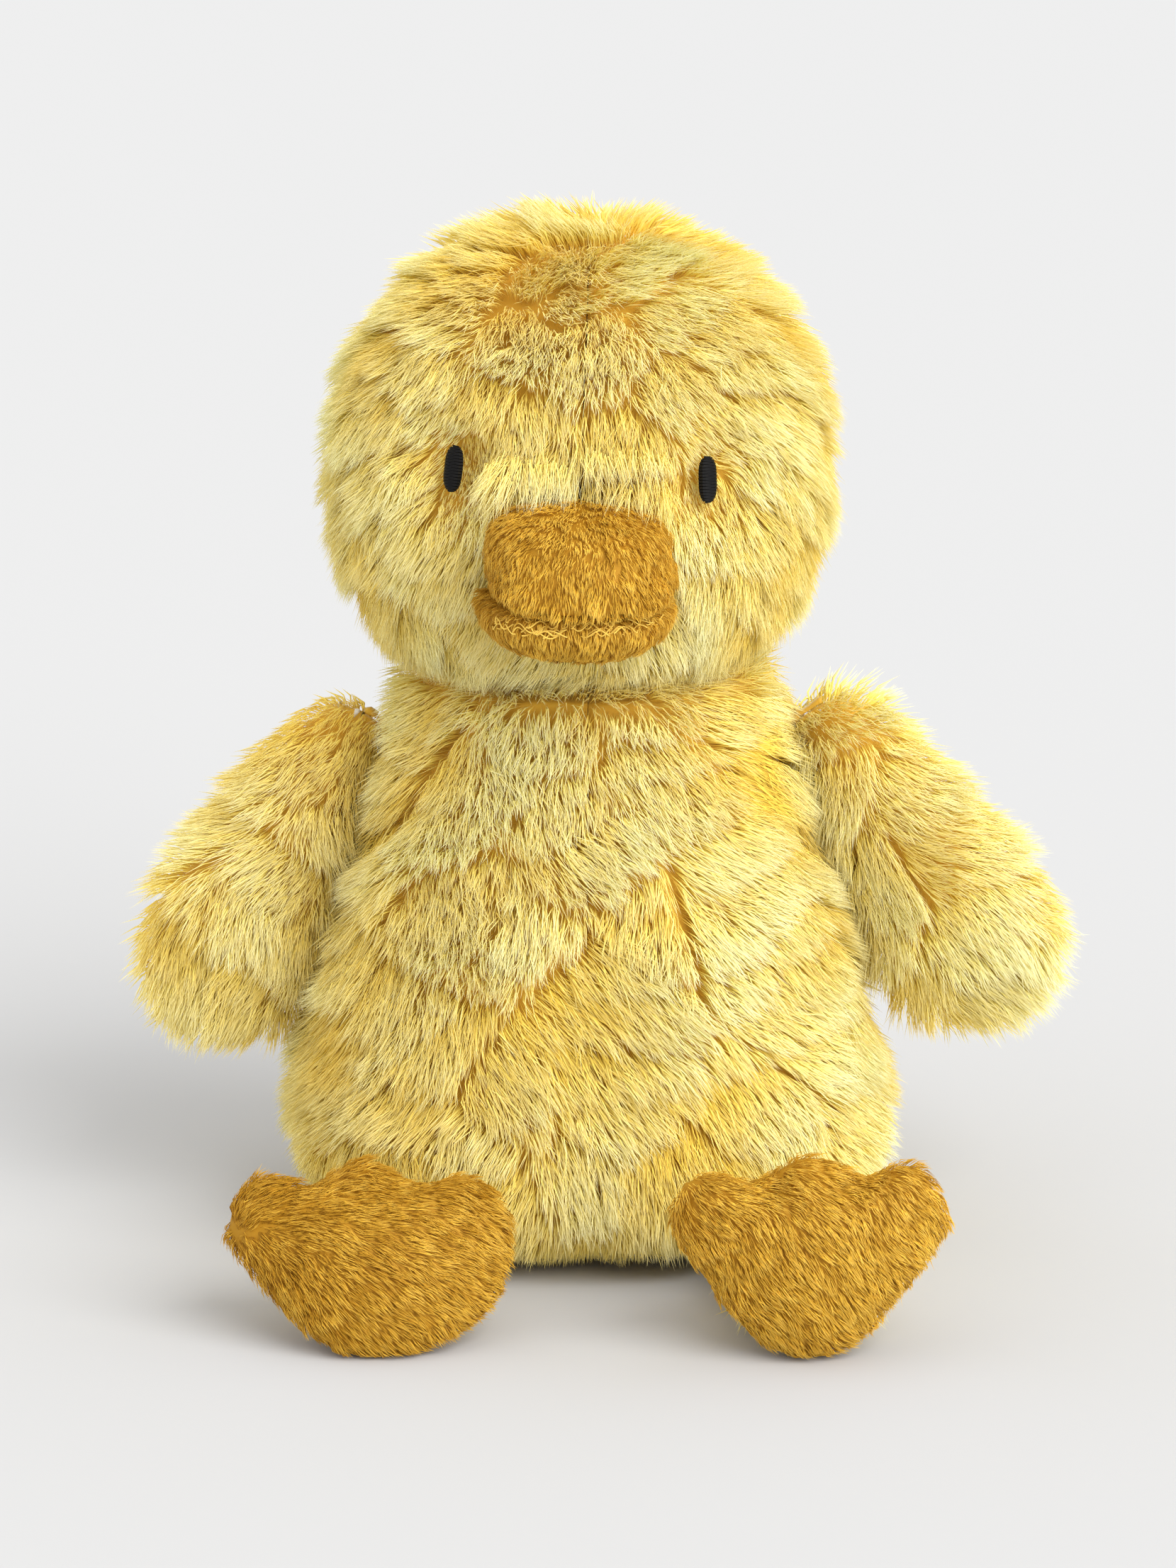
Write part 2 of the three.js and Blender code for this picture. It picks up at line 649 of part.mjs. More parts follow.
function makeLeg(side, direction) {
  const leg = new THREE.Group();
  leg.position.set(direction * LEG_SPREAD, -bodyFrontAt(FUR_CLOTH, LEG_SPREAD), FUR_CLOTH);
  leg.updateMatrixWorld(true);

  const foot = new THREE.Group();
  foot.rotation.set(-radians(FOOT_LEAN[side]), radians(FOOT_ROLL[side]), 0);
  foot.updateMatrix();
  const turned = footForm(direction, 0, SHOWN).applyMatrix4(foot.matrix);
  turned.computeBoundingBox();
  const heelHeight = FOOT_FLOOR_GAP - turned.boundingBox.min.z - FUR_CLOTH;
  foot.position.set(direction * FOOT_OUTWARD, -FOOT_FORWARD, heelHeight);
  foot.updateMatrix();
  leg.add(foot);

  const footShell = solid(footForm(direction, 0, SHOWN)).subtract(
    solid(footForm(direction, PLUSH_CLOTH, INSIDE)),
  );
  addPiece(foot, `foot_${side}_sole`, footShell.intersect(half("y", -1, -SEAM_GAP / 2)), plushCloth);
  addPiece(foot, `foot_${side}_upper`, footShell.intersect(half("y", 1, SEAM_GAP / 2)), plushCloth);
  const footFill = solid(footForm(direction, PLUSH_CLOTH + SEAM_GAP, INSIDE));
  addPiece(foot, `foot_${side}_stuffing`, footFill, fibreFill);

  const hinge = { point: leg.position.clone(), direction: new THREE.Vector3(-1, 0, 0) };
  const angles = steps(SWING_STEPS, (share) => LEG_RAISE * share);
  const clearOfFoot = solid(footForm(direction, -SEAM_GAP, SHOWN), foot.matrix);
  const cut = (inset, clearance) =>
    clearOfBody(solid(legForm(direction, inset)), leg, hinge, angles, clearance);
  const rootWall = FUR_CLOTH / 2;
  const cover = cut(0, SEAM_GAP).subtract(cut(FUR_CLOTH, rootWall)).subtract(clearOfFoot);
  addPiece(leg, `leg_${side}_cover`, cover, furCloth);
  const fill = cut(FUR_CLOTH + SEAM_GAP, rootWall + SEAM_GAP).subtract(clearOfFoot);
  addPiece(leg, `leg_${side}_stuffing`, fill, fibreFill);
  return leg;
}

const chick = new THREE.Group();
chick.add(makeBody(), makeHead());
for (const [side, direction] of [["left", 1], ["right", -1]]) {
  chick.add(makeWing(side, direction), makeLeg(side, direction));
}

export default chick;
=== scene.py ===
"""A plush chick: fur cloth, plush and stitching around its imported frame, in metres."""

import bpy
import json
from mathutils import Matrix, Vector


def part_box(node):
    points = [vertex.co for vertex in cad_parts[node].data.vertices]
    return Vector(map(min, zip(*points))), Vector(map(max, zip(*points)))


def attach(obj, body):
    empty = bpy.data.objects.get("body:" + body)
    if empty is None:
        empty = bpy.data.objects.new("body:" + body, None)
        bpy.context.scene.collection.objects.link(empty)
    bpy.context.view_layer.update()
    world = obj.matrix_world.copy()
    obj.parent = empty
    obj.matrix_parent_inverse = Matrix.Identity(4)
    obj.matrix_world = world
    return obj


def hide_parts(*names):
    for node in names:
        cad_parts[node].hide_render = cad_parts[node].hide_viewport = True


bl_info = {
    "name": "Plush chick",
    "version": (1, 0, 0),
    "blender": (4, 5, 0),
    "location": "3D View > Sidebar > Chick",
    "description": "Dresses a sitting plush chick in fur, short plush and stitched eyes",
    "category": "Object",
}

import json
import math
from contextlib import contextmanager
from typing import NamedTuple

import bpy
import numpy as np
from bpy.props import FloatProperty, FloatVectorProperty, IntProperty, PointerProperty
from mathutils import Vector
from mathutils.kdtree import KDTree

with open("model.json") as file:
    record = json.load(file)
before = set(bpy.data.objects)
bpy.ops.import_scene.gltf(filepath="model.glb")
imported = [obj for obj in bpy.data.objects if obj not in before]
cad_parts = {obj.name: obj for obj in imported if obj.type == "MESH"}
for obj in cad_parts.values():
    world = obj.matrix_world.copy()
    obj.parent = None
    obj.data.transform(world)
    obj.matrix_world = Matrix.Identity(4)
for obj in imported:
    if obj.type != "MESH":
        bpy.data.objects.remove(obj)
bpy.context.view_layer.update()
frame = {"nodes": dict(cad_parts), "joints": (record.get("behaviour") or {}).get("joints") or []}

MM = 0.001
STRAND_MAP = "Strand"
BAKE_MAP = "OFBake"
OUTWARD = "outward"
UP = np.array([0.0, 0.0, 1.0])
SIDES = (("left", 1), ("right", -1))
ENDS = (("front", -1), ("back", 1))
FLOOR_GAP = 0.4 * MM
ROOT_SINK = 0.25 * MM
SEAM_HALF = 0.1 * MM
FILL_FRAMES = 20
SHORTEST = 0.05
# Shares of the fur's full density. The panels behind carry fewer and thicker fibres.
COVER = {"front": 1.0, "back": 0.36}
BODY_COVER = {"front": 0.76, "back": 0.4}


def linear(code):
    """A written colour such as #f1db7c as linear red, green and blue."""
    parts = [int(code[at : at + 2], 16) / 255 for at in (1, 3, 5)]
    return tuple(p / 12.92 if p <= 0.04045 else ((p + 0.055) / 1.055) ** 2.4 for p in parts)


def length(name, description, default):
    """A size that a user may change, kept in metres."""
    return FloatProperty(
        name=name, description=description, default=default, min=0, unit="LENGTH", precision=5
    )


def amount(name, description, default, least=0):
    """A plain number that a user may change."""
    return FloatProperty(name=name, description=description, default=default, min=least)


def colour(name, description, code):
    """A colour that a user may change."""
    return FloatVectorProperty(
        name=name, description=description, default=linear(code), subtype="COLOR", size=3, min=0, max=1
    )


class ChickFur(bpy.types.PropertyGroup):
    """Long-pile cloth of the body, the head, the wings and the legs."""

    pile: length("Pile", "Length of a fibre", 0.0100)
    fibre: length("Fibre", "Thickness of a fibre at its middle", 0.00022)
    density: amount("Density", "Fibres on a square millimetre", 4.3, 0.1)
    lock: length("Lock", "Width of a lock of fur", 0.016)
    tuft: length("Tuft", "Width of a small tuft in a lock", 0.0018)
    skin: length("Skin depth", "How far the cloth lies under the tips of the packed pile", 0.0044)
    cloth: length("Cloth", "Thickness of the backing cloth", 0.0018)
    shear: length("Shear", "Height that the fur is cut to above its cloth", 0.0084)
    # Under, root and gold are golden as painted shade deep in the pile and in its partings; gold also colours
    # the pile's own darker locks.
    under: colour("Under", "Colour of the cloth under the fur", "#e0b040")
    root: colour("Root", "Colour deep in the fur", "#f3ca4a")
    middle: colour("Middle", "Colour halfway up a fibre", "#ffee7c")
    tip: colour("Tip", "Colour of the fibres' tips", "#fffdd0")
    gold: colour("Gold", "Tips of the darker locks", "#fbdc58")


class ChickPlush(bpy.types.PropertyGroup):
    """Short-pile cloth of the bill and the feet."""

    pile: length("Nap", "Length of the short pile", 0.0040)
    fibre: length("Fibre", "Thickness of a fibre at its middle", 0.00020)
    density: amount("Density", "Fibres on a square millimetre", 4.8, 0.1)
    lock: length("Stroke", "Width of a stroke in the nap", 0.0032)
    tuft: length("Tuft", "Width of a small tuft in a stroke", 0.0011)
    skin: length("Skin depth", "How far the cloth lies under the nap", 0.0004)
    cloth: length("Cloth", "Thickness of the backing cloth", 0.0012)
    root: colour("Root", "Colour deep in the nap", "#c6921e")
    middle: colour("Middle", "Colour halfway up a fibre", "#eebe3e")
    tip: colour("Tip", "Colour of the fibres' tips", "#f9d566")
    # Shade is painted shade: the nap's colour in the tucks and in the gaps between strokes.
    shade: colour("Shade", "Tips in the tucks and the darker strokes", "#9c6a14")


class ChickEyes(bpy.types.PropertyGroup):
    """Satin-stitched eyes."""

    rows: IntProperty(name="Stitches", description="Stitches that cover one eye", default=30, min=4)
    thread: length("Thread", "Thickness of the stitching thread", 0.00042)
    black: colour("Thread colour", "Colour of the stitching thread", "#0c0a09")


class ChickStage(bpy.types.PropertyGroup):
    """Floor, light and camera."""

    distance: length("Distance", "From the camera to the chick", 1.4)
    elevation: FloatProperty(
        name="Elevation",
        description="Height of the camera as an angle",
        default=math.radians(14.5),
        subtype="ANGLE",
    )
    target: length("Target", "Height that the camera looks at", 0.0895)
    view: length("View", "Height of the picture at the chick", 0.316)
    backdrop: colour("Backdrop", "Colour behind the floor", "#eeeeee")
    ground: colour("Ground", "Colour of the floor", "#cbcbcb")
    sky: amount("Sky", "Strength of the light from all around", 0.97)
    sun: amount("Key light", "Strength of the soft key light", 2.6)


SETTINGS = {
    "chick_fur": ChickFur,
    "chick_plush": ChickPlush,
    "chick_eyes": ChickEyes,
    "chick_stage": ChickStage,
}


class Groom(NamedTuple):
    """How a pile grows: lengths in metres, angles in degrees."""

    pile: float
    fibre: float
    density: float
    tuft: float
    shear: float = 1.0
    # Mottle spreads the tone between tufts: the pile's own uneven colour, and on the short plush also painted
    # shade between its strokes.
    mottle: float = 0.07
    lift: float = 56
    lay: float = 38
    turn: float = 20
    stray: float = 11
    lock_pull: float = 0.08
    tuft_pull: float = 0.24
    tier: float = 1.0


class Coat:
    """How a pile lies on a group of panels. Each answer is for the roots of many fibres."""

    def flow(self, points):
        """The way the fibres lean."""
        return np.tile(-UP, (len(points), 1))

    def trim(self, points):
        """The share of the full length."""
        return np.ones(len(points))

    def tone(self, points):
        """How much paler than usual: the pile's own patches, painted shade and painted light."""
        return np.zeros(len(points))

    def ridge(self, points):
        """From -0.5 in a parting to 0.5 at a fringe."""
        return np.zeros(len(points))

    def raised(self, points):
        """Degrees that the lower and the upper half of the fibres stand up more than usual."""
        return np.zeros(len(points)), np.zeros(len(points))


# Selecting and changing meshes


def only(piece):
    """Makes a piece the only selected one, and the active one."""
    bpy.ops.object.select_all(action="DESELECT")
    piece.select_set(True)
    bpy.context.view_layer.objects.active = piece


def linked(name, data):
    """A new object in the scene for a mesh, a lamp or a camera."""
    made = bpy.data.objects.new(name, data)
    bpy.context.collection.objects.link(made)
    return made


@contextmanager
def editing(piece):
    """Opens a piece with its whole mesh selected, and closes it again."""
    only(piece)
    bpy.ops.object.mode_set(mode="EDIT")
    bpy.ops.mesh.select_all(action="SELECT")
    yield
    bpy.ops.object.mode_set(mode="OBJECT")


def modify(piece, kind, **values):
    """Adds a modifier with these values and applies it."""
    only(piece)
    modifier = piece.modifiers.new(kind.title(), kind)
    for key, value in values.items():
        setattr(modifier, key, value)
    bpy.ops.object.modifier_apply(modifier=modifier.name)


def places(mesh):
    """The places of a mesh's vertices."""
    found = np.empty(len(mesh.vertices) * 3, np.float32)
    mesh.vertices.foreach_get("co", found)
    return found.reshape(-1, 3).astype(float)


def place(mesh, points):
    """Moves a mesh's vertices to these places."""
    mesh.vertices.foreach_set("co", points.astype(np.float32).ravel())
    mesh.update()


def joined(name, pieces):
    """Several objects as one."""
    only(pieces[0])
    for piece in pieces[1:]:
        piece.select_set(True)
    if len(pieces) > 1:
        bpy.ops.object.join()
    pieces[0].name = name
    pieces[0].data.name = name
    return pieces[0]


def node_copy(node):
    """A copy of a solid with its corners merged."""
    copy = linked(node + "_copy", frame["nodes"][node].data.copy())
    copy.data.materials.clear()
    with editing(copy):
        bpy.ops.mesh.remove_doubles(threshold=0.005 * MM)
    return copy


def outer_shell(form):
    """Keeps only the largest closed surface of a form."""
    with editing(form):
        bpy.ops.mesh.separate(type="LOOSE")
    shells = sorted(bpy.context.selected_objects, key=lambda shell: shell.dimensions.length)
    name = form.name
    for shell in shells[:-1]:
        bpy.data.objects.remove(shell)
    shells[-1].name = name
    return shells[-1]


def blow_up(form, pressure, reach):
    """Fills a form like a cloth bag, and lets no point move further than reach."""
    before = places(form.data)
    only(form)
    cloth = form.modifiers.new("Cloth", "CLOTH")
    cloth.settings.quality = 4
    cloth.settings.mass = 0.15
    cloth.settings.use_pressure = True
    cloth.settings.uniform_pressure_force = pressure
    cloth.settings.effector_weights.gravity = 0
    cloth.collision_settings.use_collision = False
    cloth.point_cache.frame_start = 1
    cloth.point_cache.frame_end = FILL_FRAMES
    for step in range(1, FILL_FRAMES + 1):
        bpy.context.scene.frame_set(step)
    bpy.ops.object.modifier_apply(modifier=cloth.name)
    bpy.context.scene.frame_set(1)
    moved = places(form.data) - before
    far = np.linalg.norm(moved, axis=1, keepdims=True)
    place(form.data, before + moved * np.minimum(1, reach / np.maximum(far, 1e-9)))


def stuffed_form(name, nodes, voxel, draw_in, pressure, reach, smooth=2):
    """One closed skin around these solids, drawn in and then filled out by a cloth simulation."""
    form = joined(name, [node_copy(node) for node in nodes])
    modify(form, "REMESH", mode="VOXEL", voxel_size=voxel, use_smooth_shade=True)
    form = outer_shell(form)
    modify(form, "DISPLACE", strength=-draw_in, mid_level=0)
    modify(form, "SMOOTH", factor=0.5, iterations=smooth)
    blow_up(form, pressure, reach)
    modify(form, "SUBSURF", levels=1, render_levels=1)
    return form


def keep_normals(mesh):
    """Stores the way out of a whole form, so that the pile of two panels meets at their seam."""
    normals = np.empty(len(mesh.vertices) * 3, np.float32)
    mesh.vertices.foreach_get("normal", normals)
    kept = mesh.attributes.get(OUTWARD) or mesh.attributes.new(OUTWARD, "FLOAT_VECTOR", "POINT")
    kept.data.foreach_set("vector", normals)


def cut_panel(name, form, planes):
    """The part of a form on the positive side of every plane, given as a point and a normal."""
    panel = linked(name + "_sewn", form.data.copy())
    keep_normals(panel.data)
    with editing(panel):
        for point, normal in planes:
            bpy.ops.mesh.select_all(action="SELECT")
            bpy.ops.mesh.bisect(plane_co=point, plane_no=normal, clear_inner=True)
    if not panel.data.polygons:
        raise RuntimeError(name + " is cut away")
    return panel


def bin_form(form):
    """Throws away a form that its panels have been cut from."""
    bpy.data.meshes.remove(form.data)


# Growing a pile


class Surface:
    """The triangles of a panel, to grow a pile on."""

    def __init__(self, panel):
        mesh = panel.data
        mesh.calc_loop_triangles()
        corners = np.empty(len(mesh.loop_triangles) * 3, np.int32)
        mesh.loop_triangles.foreach_get("vertices", corners)
        normals = np.empty(len(mesh.vertices) * 3, np.float32)
        mesh.attributes[OUTWARD].data.foreach_get("vector", normals)
        self.corners = places(mesh)[corners.reshape(-1, 3)]
        self.normals = normals.reshape(-1, 3).astype(float)[corners.reshape(-1, 3)]
        edges = self.corners[:, 1:] - self.corners[:, :1]
        self.areas = np.linalg.norm(np.cross(edges[:, 0], edges[:, 1]), axis=1) / 2

    def scatter(self, density, draw):
        """Random places with their normals, this many on a square millimetre."""
        count = int(self.areas.sum() / MM**2 * density)
        which = draw.choice(len(self.areas), count, p=self.areas / self.areas.sum())
        a, b = draw.random((2, count))
        over = a + b > 1
        a[over], b[over] = 1 - a[over], 1 - b[over]
        share = np.stack([1 - a - b, a, b], 1)[:, :, None]
        normal = (self.normals[which] * share).sum(1)
        return (self.corners[which] * share).sum(1), unit(normal)


def unit(vectors):
    """Vectors of length 1 that point the same way."""
    return vectors / np.maximum(np.linalg.norm(vectors, axis=1, keepdims=True), 1e-12)


def along_surface(directions, normals):
    """Directions laid into the surface."""
    return unit(directions - normals * (directions * normals).sum(1, keepdims=True))


def turned(directions, normals, angles):
    """Directions turned about the normals."""
    across = np.cross(normals, directions)
    return directions * np.cos(angles)[:, None] + across * np.sin(angles)[:, None]


def waves(points, size, seed, count=7):
    """A smooth random value for each point, about -1 to 1, that changes over this size."""
    draw = np.random.default_rng(seed)
    ways = unit(draw.normal(size=(count, 3))) * (2 * math.pi / size) * draw.uniform(0.6, 1.3, (count, 1))
    return np.sin(points @ ways.T + draw.uniform(0, 2 * math.pi, count)).sum(1) / math.sqrt(count)


def rise(values, low, high):
    """Goes from 0 at low to 1 at high."""
    share = np.clip((values - low) / (high - low), 0, 1)
    return share * share * (3 - 2 * share)


def bump(values, width):
    """1 at zero, and falls off to each side over this width."""
    return np.exp(-((values / width) ** 2))


class Locks:
    """Patches of pile that lean and shine alike, spread over a whole form and across its seams."""

    LIMIT = 1.4

    def __init__(self, form, size, seed):
        draw = np.random.default_rng(seed)
        keep_normals(form.data)
        self.size = size
        self.middles = Surface(form).scatter((MM / size) ** 2, draw)[0]
        self.habits = np.clip(draw.normal(size=(5, len(self.middles))), -self.LIMIT, self.LIMIT)


def nearest(points, middles):
    """The number of the middle that is nearest to each point."""
    tree = KDTree(len(middles))
    for number, middle in enumerate(middles):
        tree.insert(middle, number)
    tree.balance()
    return np.array([tree.find(point)[1] for point in points])


def group_mean(values, group, count):
    """For each point, the mean of the group that it is in."""
    total = np.zeros((count, 3))
    np.add.at(total, group, values)
    return (total / np.maximum(np.bincount(group, minlength=count), 1)[:, None])[group]


def grow(panel, groom, coat, locks, seed):
    """A pile of tapered fibres that lean with the flow, in tufts and in locks that overlap like tiles."""
    draw = np.random.default_rng(seed)
    surface = Surface(panel)
    root, normal = surface.scatter(groom.density, draw)
    size = coat.trim(root)
    kept = size > SHORTEST
    root, normal, size = root[kept], normal[kept], size[kept]
    tuft_count = max(1, min(len(root), int(surface.areas.sum() / groom.tuft**2)))
    tuft = nearest(root, root[draw.choice(len(root), tuft_count, replace=False)])
    lock = nearest(root, locks.middles)
    by_lock = locks.habits[:, lock]
    by_tuft = draw.normal(size=(3, tuft_count))[:, tuft]
    own = draw.normal(size=(5, len(root)))

    flow = 0.5 * unit(coat.flow(locks.middles))[lock] + 0.5 * unit(coat.flow(root))
    angle = np.radians(groom.turn * (by_lock[0] + 0.5 * by_tuft[0]) + groom.stray * own[0])
    lean = turned(along_surface(flow, normal), normal, angle)
    spot = ((root - locks.middles[lock]) * lean).sum(1) / locks.size
    tier = groom.tier * (0.8 * np.clip(spot, -0.6, 0.6) + coat.ridge(root))
    more_lift, more_lay = coat.raised(root)
    fibre = groom.pile * size * (1 + 0.4 * tier) * (1 + 0.06 * by_lock[1] + 0.05 * by_tuft[1] + 0.11 * own[1])
    lift = np.radians(groom.lift + 24 * tier + 5 * by_lock[2] + 5 * own[2] + more_lift)
    lay = np.radians(groom.lay + 20 * tier + 5 * by_lock[3] + 6 * own[3] + more_lay)
    middle = root + 0.5 * fibre[:, None] * leaning(lean, normal, lift)
    tip = middle + 0.5 * fibre[:, None] * leaning(lean, normal, lay)
    for group, count, pull in (
        (lock, len(locks.middles), groom.lock_pull),
        (tuft, tuft_count, groom.tuft_pull),
    ):
        middle += 0.45 * pull * (group_mean(middle, group, count) - middle)
        tip += pull * (group_mean(tip, group, count) - tip)
    middle += 0.02 * fibre[:, None] * draw.normal(size=tip.shape)
    tip += 0.04 * fibre[:, None] * draw.normal(size=tip.shape)
    height = np.maximum(((tip - root) * normal).sum(1), 0.1 * MM)
    cut = np.where(size > 1, 1, np.minimum(1, groom.shear * (1 + 0.07 * own[2]) / height))[:, None]
    middle, tip = root + cut * (middle - root), root + cut * (tip - root)
    middle[:, 2] = np.maximum(middle[:, 2], FLOOR_GAP)
    tip[:, 2] = np.maximum(tip[:, 2], FLOOR_GAP)

    # Painted shade and light: fibres in a parting take the darker gold, those at a fringe the pale tips, and
    # coat.tone adds each coat's painted shade and light. The lock, tuft and own terms are the pile's own
    # uneven colour.
    shade = 0.58 + 0.5 * tier + 0.1 * by_lock[4] + groom.mottle * by_tuft[2] + 0.06 * own[4] + coat.tone(root)
    thick = groom.fibre / 2 * draw.uniform(0.75, 1.25, len(root))
    roll = FIBRE_ROLL * draw.normal(size=len(root))
    root = root - normal * ROOT_SINK
    shade = np.clip(shade, 0.02, 0.98)
    return fibre_mesh(panel.name + "_pile", root, middle, tip, normal, roll, thick, shade)


def leaning(lean, normal, angle):
    """Directions between lying along the surface and standing up from it."""
    return np.cos(angle)[:, None] * lean + np.sin(angle)[:, None] * normal


FIBRE_FACES = [(1, 2, 4), (2, 3, 4), (3, 1, 4), (2, 1, 0), (3, 2, 0), (1, 3, 0)]
FIBRE_HEIGHTS = [0.02, 0.5, 0.5, 0.5, 0.98]
FIBRE_ACROSS = [0, -0.005, 0, 0.005, 0]
FIBRE_ROLL = math.radians(18)
FLAT_SIDE_OUT = math.radians(150)


def fibre_mesh(name, root, middle, tip, normal, roll, thick, shade):
    """Thin closed spindles with a bend in the middle. Their map holds shade and height."""
    count = len(root)
    points = np.empty((count, 5, 3))
    points[:, 0], points[:, 4] = root, tip
    way = tip - root
    across = unit(np.cross(way, normal))
    upward = unit(np.cross(way, across))
    for side in range(3):
        turn = roll + 2 * math.pi * side / 3 - FLAT_SIDE_OUT
        around = across * np.cos(turn)[:, None] + upward * np.sin(turn)[:, None]
        points[:, 1 + side] = middle + around * thick[:, None]
    pattern = np.array(FIBRE_FACES).ravel()
    corners = (np.arange(count)[:, None] * 5 + pattern).ravel()
    faces = len(corners) // 3
    mesh = bpy.data.meshes.new(name)
    mesh.vertices.add(count * 5)
    mesh.vertices.foreach_set("co", points.astype(np.float32).ravel())
    mesh.loops.add(len(corners))
    mesh.loops.foreach_set("vertex_index", corners.astype(np.int32))
    mesh.polygons.add(faces)
    mesh.polygons.foreach_set("loop_start", np.arange(faces, dtype=np.int32) * 3)
    mesh.polygons.foreach_set("use_smooth", np.zeros(faces, bool))
    spots = np.empty((count, len(pattern), 2), np.float32)
    spots[:, :, 0] = shade[:, None] + np.array(FIBRE_ACROSS)[pattern]
    spots[:, :, 1] = np.array(FIBRE_HEIGHTS)[pattern]
    set_maps(mesh, spots)
    mesh.update(calc_edges=True)
    return linked(name, mesh)


def set_maps(mesh, spots):
    """Writes shade and height at each corner of a mesh."""
    for layer in (STRAND_MAP, BAKE_MAP):
        found = mesh.uv_layers.get(layer) or mesh.uv_layers.new(name=layer)
        found.data.foreach_set("uv", spots.astype(np.float32).ravel())


def map_cloth(panel):
    """Gives the cloth under a pile the colour of the fibres' roots, the golden painted shade deep in the
    pile.
    """
    mesh = panel.data
    at = np.empty(len(mesh.loops), np.int32)
    mesh.loops.foreach_get("vertex_index", at)
    points = places(mesh)
    share = (points - points.min(0)) / np.maximum(np.ptp(points, axis=0), 1e-6)
    spots = np.stack([0.35 + 0.2 * share[at, 0] + 0.1 * share[at, 1], 0.02 + 0.04 * share[at, 2]], 1)
    set_maps(mesh, spots)


def dress(panel, node, body, piles):
    """Joins a panel of cloth and what grows on it into one piece that stands for a solid."""
    panel.data.attributes.remove(panel.data.attributes[OUTWARD])
    slot, finish, thick = cloth_of(node)
    modify(panel, "SOLIDIFY", thickness=thick, offset=-1)
    only(panel)
    bpy.ops.object.shade_smooth()
    map_cloth(panel)
    piece = joined(panel.name, [panel] + piles)
    finished(piece, node, body, finish)


def sew(node, body, form, planes, groom, coat, locks, seed):
    """Cuts a panel from a form, grows its pile and makes the piece that stands for a solid."""
    panel = cut_panel(node, form, planes)
    dress(panel, node, body, [grow(panel, groom, coat, locks, seed)])


def cloth_of(node):
    """The slot, the material and the thickness of a panel's cloth."""
    if node.startswith(("bill", "foot")):
        return "plush_cloth", plush_material(), bpy.context.scene.chick_plush.cloth
    return "fur_cloth", fur_material(), bpy.context.scene.chick_fur.cloth


def finished(piece, node, body, finish):
    """Gives a soft piece its material and its body, and hides the solid that it stands for."""
    piece.data.materials.clear()
    piece.data.materials.append(finish)
    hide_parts(node)
    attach(piece, body)


# Materials

# The numbers of a mix node's colour sockets
MIX_A = 6
MIX_B = 7
MIX_RESULT = 2


def new_material(name):
    """A material with its nodes, its links and its shader."""
    made = bpy.data.materials.new(name)
    made.use_nodes = True
    return made, made.node_tree.nodes, made.node_tree.links, made.node_tree.nodes["Principled BSDF"]


def set_inputs(node, **values):
    """Sets a node's own values. An underscore in a name stands for a space."""
    for key, value in values.items():
        node.inputs[key.replace("_", " ")].default_value = value


def ramp(nodes, stops):
    """Colours that change over a value, as pairs of place and colour."""
    made = nodes.new("ShaderNodeValToRGB")
    while len(made.color_ramp.elements) < len(stops):
        made.color_ramp.elements.new(1)
    for element, (at, tint) in zip(made.color_ramp.elements, stops):
        element.position = at
        element.color = (*tint, 1)
    return made


def pile_material(name, low_stops, high_stops, roughness, sheen, sheen_tint):
    """A pile whose colour runs from root to tip, and from its darker to its paler locks; the darker roots and
    locks are painted shade.
    """
    made, nodes, links, shader = new_material(name)
    where = nodes.new("ShaderNodeUVMap")
    where.uv_map = STRAND_MAP
    parts = nodes.new("ShaderNodeSeparateXYZ")
    links.new(where.outputs["UV"], parts.inputs[0])
    blend = nodes.new("ShaderNodeMix")
    blend.data_type = "RGBA"
    links.new(parts.outputs["X"], blend.inputs["Factor"])
    for stops, socket in ((low_stops, MIX_A), (high_stops, MIX_B)):
        tint = ramp(nodes, stops)
        links.new(parts.outputs["Y"], tint.inputs["Fac"])
        links.new(tint.outputs["Color"], blend.inputs[socket])
    links.new(blend.outputs[MIX_RESULT], shader.inputs["Base Color"])
    set_inputs(shader, Roughness=roughness, Specular_IOR_Level=0.2)
    set_inputs(shader, Sheen_Weight=sheen, Sheen_Roughness=0.4, Sheen_Tint=(*sheen_tint, 1))
    return made


def fur_material():
    """Long fur, golden in its recesses as painted shade, and pale at the tips."""
    fur = bpy.context.scene.chick_fur
    found = bpy.data.materials.get("long_fur")
    gold = [(0.05, fur.under), (0.15, fur.root), (0.5, fur.gold)]
    pale = [(0.05, fur.under), (0.12, fur.root), (0.4, fur.middle), (0.9, fur.tip)]
    return found or pile_material("long_fur", gold, pale, 0.72, 0.5, fur.tip)


def plush_material():
    """Short mustard plush with darker strokes, painted shade between the strokes and in the tucks."""
    plush = bpy.context.scene.chick_plush
    found = bpy.data.materials.get("short_plush")
    dark = [(0, plush.shade), (0.3, plush.shade), (0.8, plush.root)]
    bright = [(0, plush.root), (0.5, plush.middle), (1, plush.tip)]
    return found or pile_material("short_plush", dark, bright, 0.62, 0.2, plush.tip)


def uneven(nodes, links, shader, tint, dark, low, grain):
    """Colours a shader unevenly, down to a dark share of its tint below a low value of the noise."""
    where = nodes.new("ShaderNodeTexCoord")
    noise = nodes.new("ShaderNodeTexNoise")
    set_inputs(noise, Scale=grain)
    tone = ramp(nodes, [(low, tuple(dark * part for part in tint)), (0.7, tint)])
    links.new(where.outputs["Object"], noise.inputs["Vector"])
    links.new(noise.outputs["Fac"], tone.inputs["Fac"])
    links.new(tone.outputs["Color"], shader.inputs["Base Color"])
    return noise


